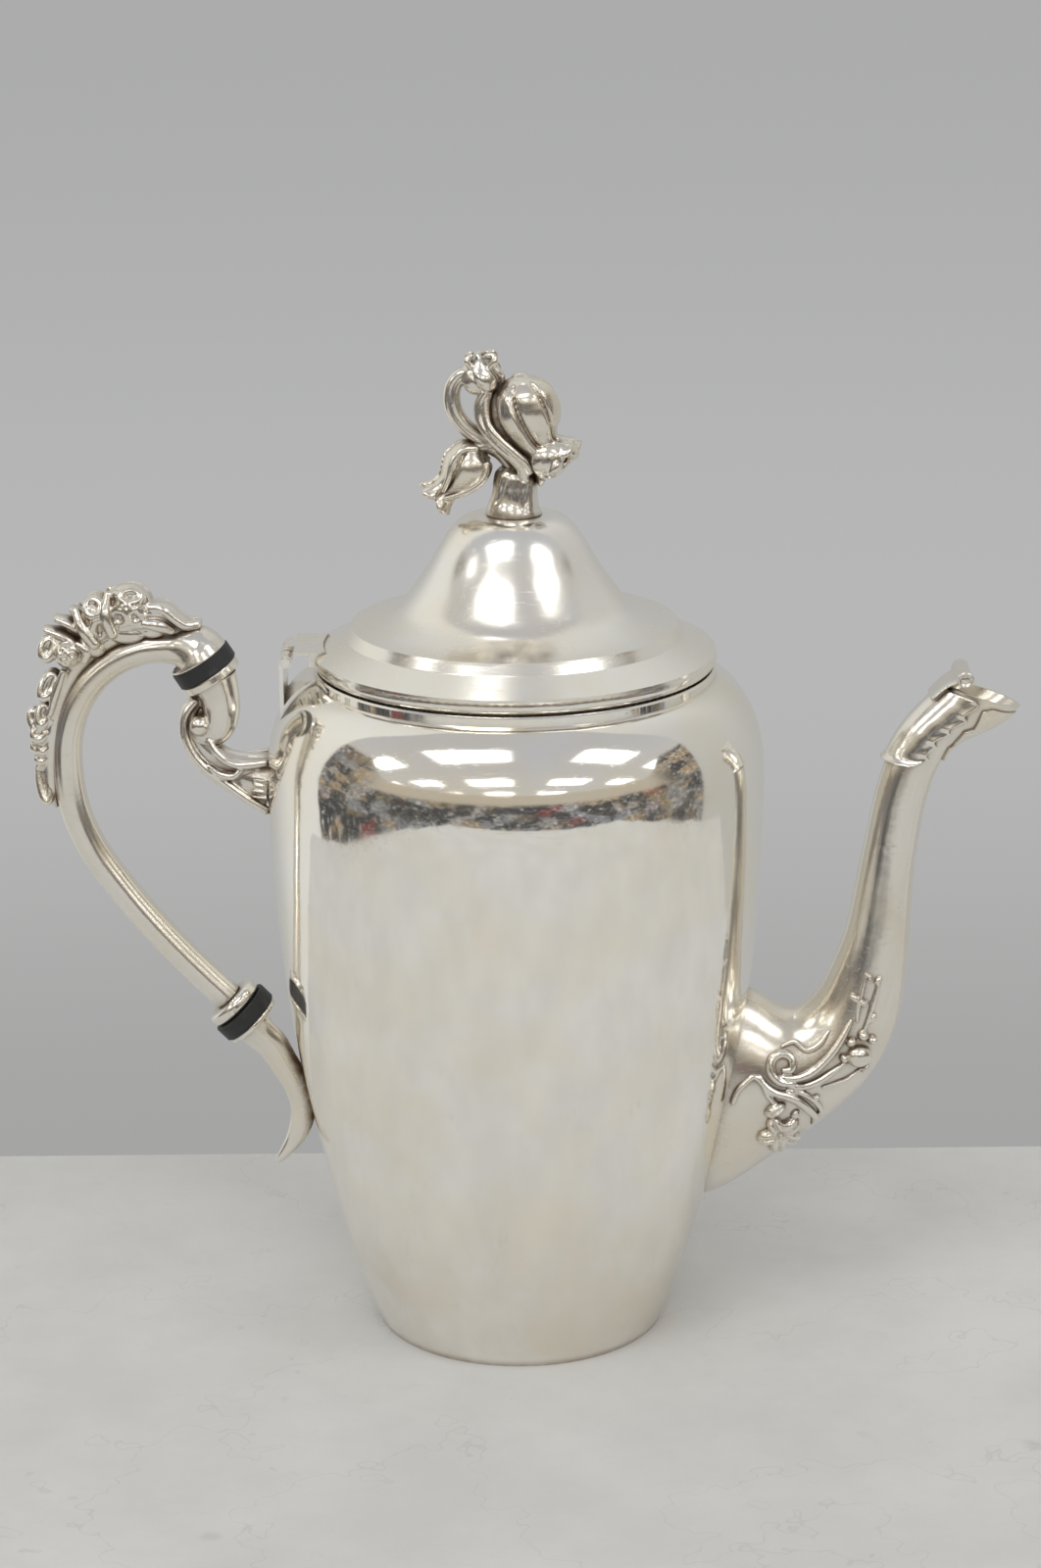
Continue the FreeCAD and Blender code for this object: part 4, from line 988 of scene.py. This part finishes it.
def behind_sweep(tree, x, y, z, across):
    """1 where the sweep hides the room; its top edge stands highest straight above the pot."""
    level = maths(tree, "MAXIMUM", z, 0.0)
    hump = maths(tree, "EXPONENT", maths(tree, "MULTIPLY", maths(tree, "MULTIPLY", across, across), -8.2),
                 0)
    high = maths(tree, "MULTIPLY", level, maths(tree, "ADD", maths(tree, "MULTIPLY", hump, 0.37), 0.08))
    low = maths(tree, "ADD", maths(tree, "MULTIPLY", x, -0.065), 0.135)
    low = maths(tree, "MULTIPLY", maths(tree, "SUBTRACT", 1.0, level), low)
    past = maths(tree, "SUBTRACT", y, maths(tree, "ADD", high, low))
    return ramp(tree, past, -0.01, 0.01, 0.0, 1.0)


def make_world():
    """A grey sweep behind the pot, and a dim room with ceiling lamps in front of it."""
    world = bpy.data.worlds.new("studio")
    bpy.context.scene.world = world
    world.use_nodes = True
    tree = world.node_tree
    direction = add(tree, "ShaderNodeTexCoord").outputs["Generated"]
    split = add(tree, "ShaderNodeSeparateXYZ")
    tree.links.new(direction, split.inputs[0])
    x, y, z = split.outputs
    across = maths(tree, "DIVIDE", x, maths(tree, "MAXIMUM", z, 0.05))
    sweep, bright_sweep = sweep_colours(tree, x, y, z)
    room = room_colour(tree, room_goods(tree, direction), y, z, across)
    seen = blend_colour(tree, behind_sweep(tree, x, y, z, across), room, bright_sweep)
    # The camera itself sees only the plain sweep.
    rays = add(tree, "ShaderNodeLightPath")
    shown = blend_colour(tree, rays.outputs["Is Camera Ray"], seen, sweep)
    background = tree.nodes["Background"]
    tree.links.new(shown, background.inputs["Color"])
    background.inputs["Strength"].default_value = 1.0


def make_light(name, place_at, aim, size, power):
    lamp = bpy.data.lights.new(name, "AREA")
    lamp.shape = "RECTANGLE"
    lamp.size, lamp.size_y = size
    lamp.energy = power
    holder = bpy.data.objects.new(name, lamp)
    bpy.context.scene.collection.objects.link(holder)
    holder.location = place_at
    holder.rotation_euler = (Vector(aim) - Vector(place_at)).to_track_quat("-Z", "Y").to_euler()
    holder.visible_glossy = False


def make_lights():
    make_light("soft_front", (0.1, -1.0, 1.1), (0, -0.45, 0), (0.9, 0.6), 1.5)


bpy.context.scene.view_settings.view_transform = "Standard"

# Metres, degrees and millimetres of lens.
CAMERA_PLACE = (0.0011, -0.901, 0.416)
CAMERA_PITCH = 73.2
CAMERA_ROLL = -0.55
CAMERA_LENS = 85.3


def make_camera():
    data = bpy.data.cameras.new("camera")
    data.lens = CAMERA_LENS
    data.sensor_width = 36.0
    camera = bpy.data.objects.new("camera", data)
    bpy.context.scene.collection.objects.link(camera)
    turn = Matrix.Rotation(math.radians(CAMERA_PITCH), 4, "X") @ Matrix.Rotation(
        math.radians(CAMERA_ROLL), 4, "Z")
    camera.matrix_world = Matrix.Translation(CAMERA_PLACE) @ turn
    bpy.context.scene.camera = camera


make_floor()
make_world()
make_lights()
make_camera()
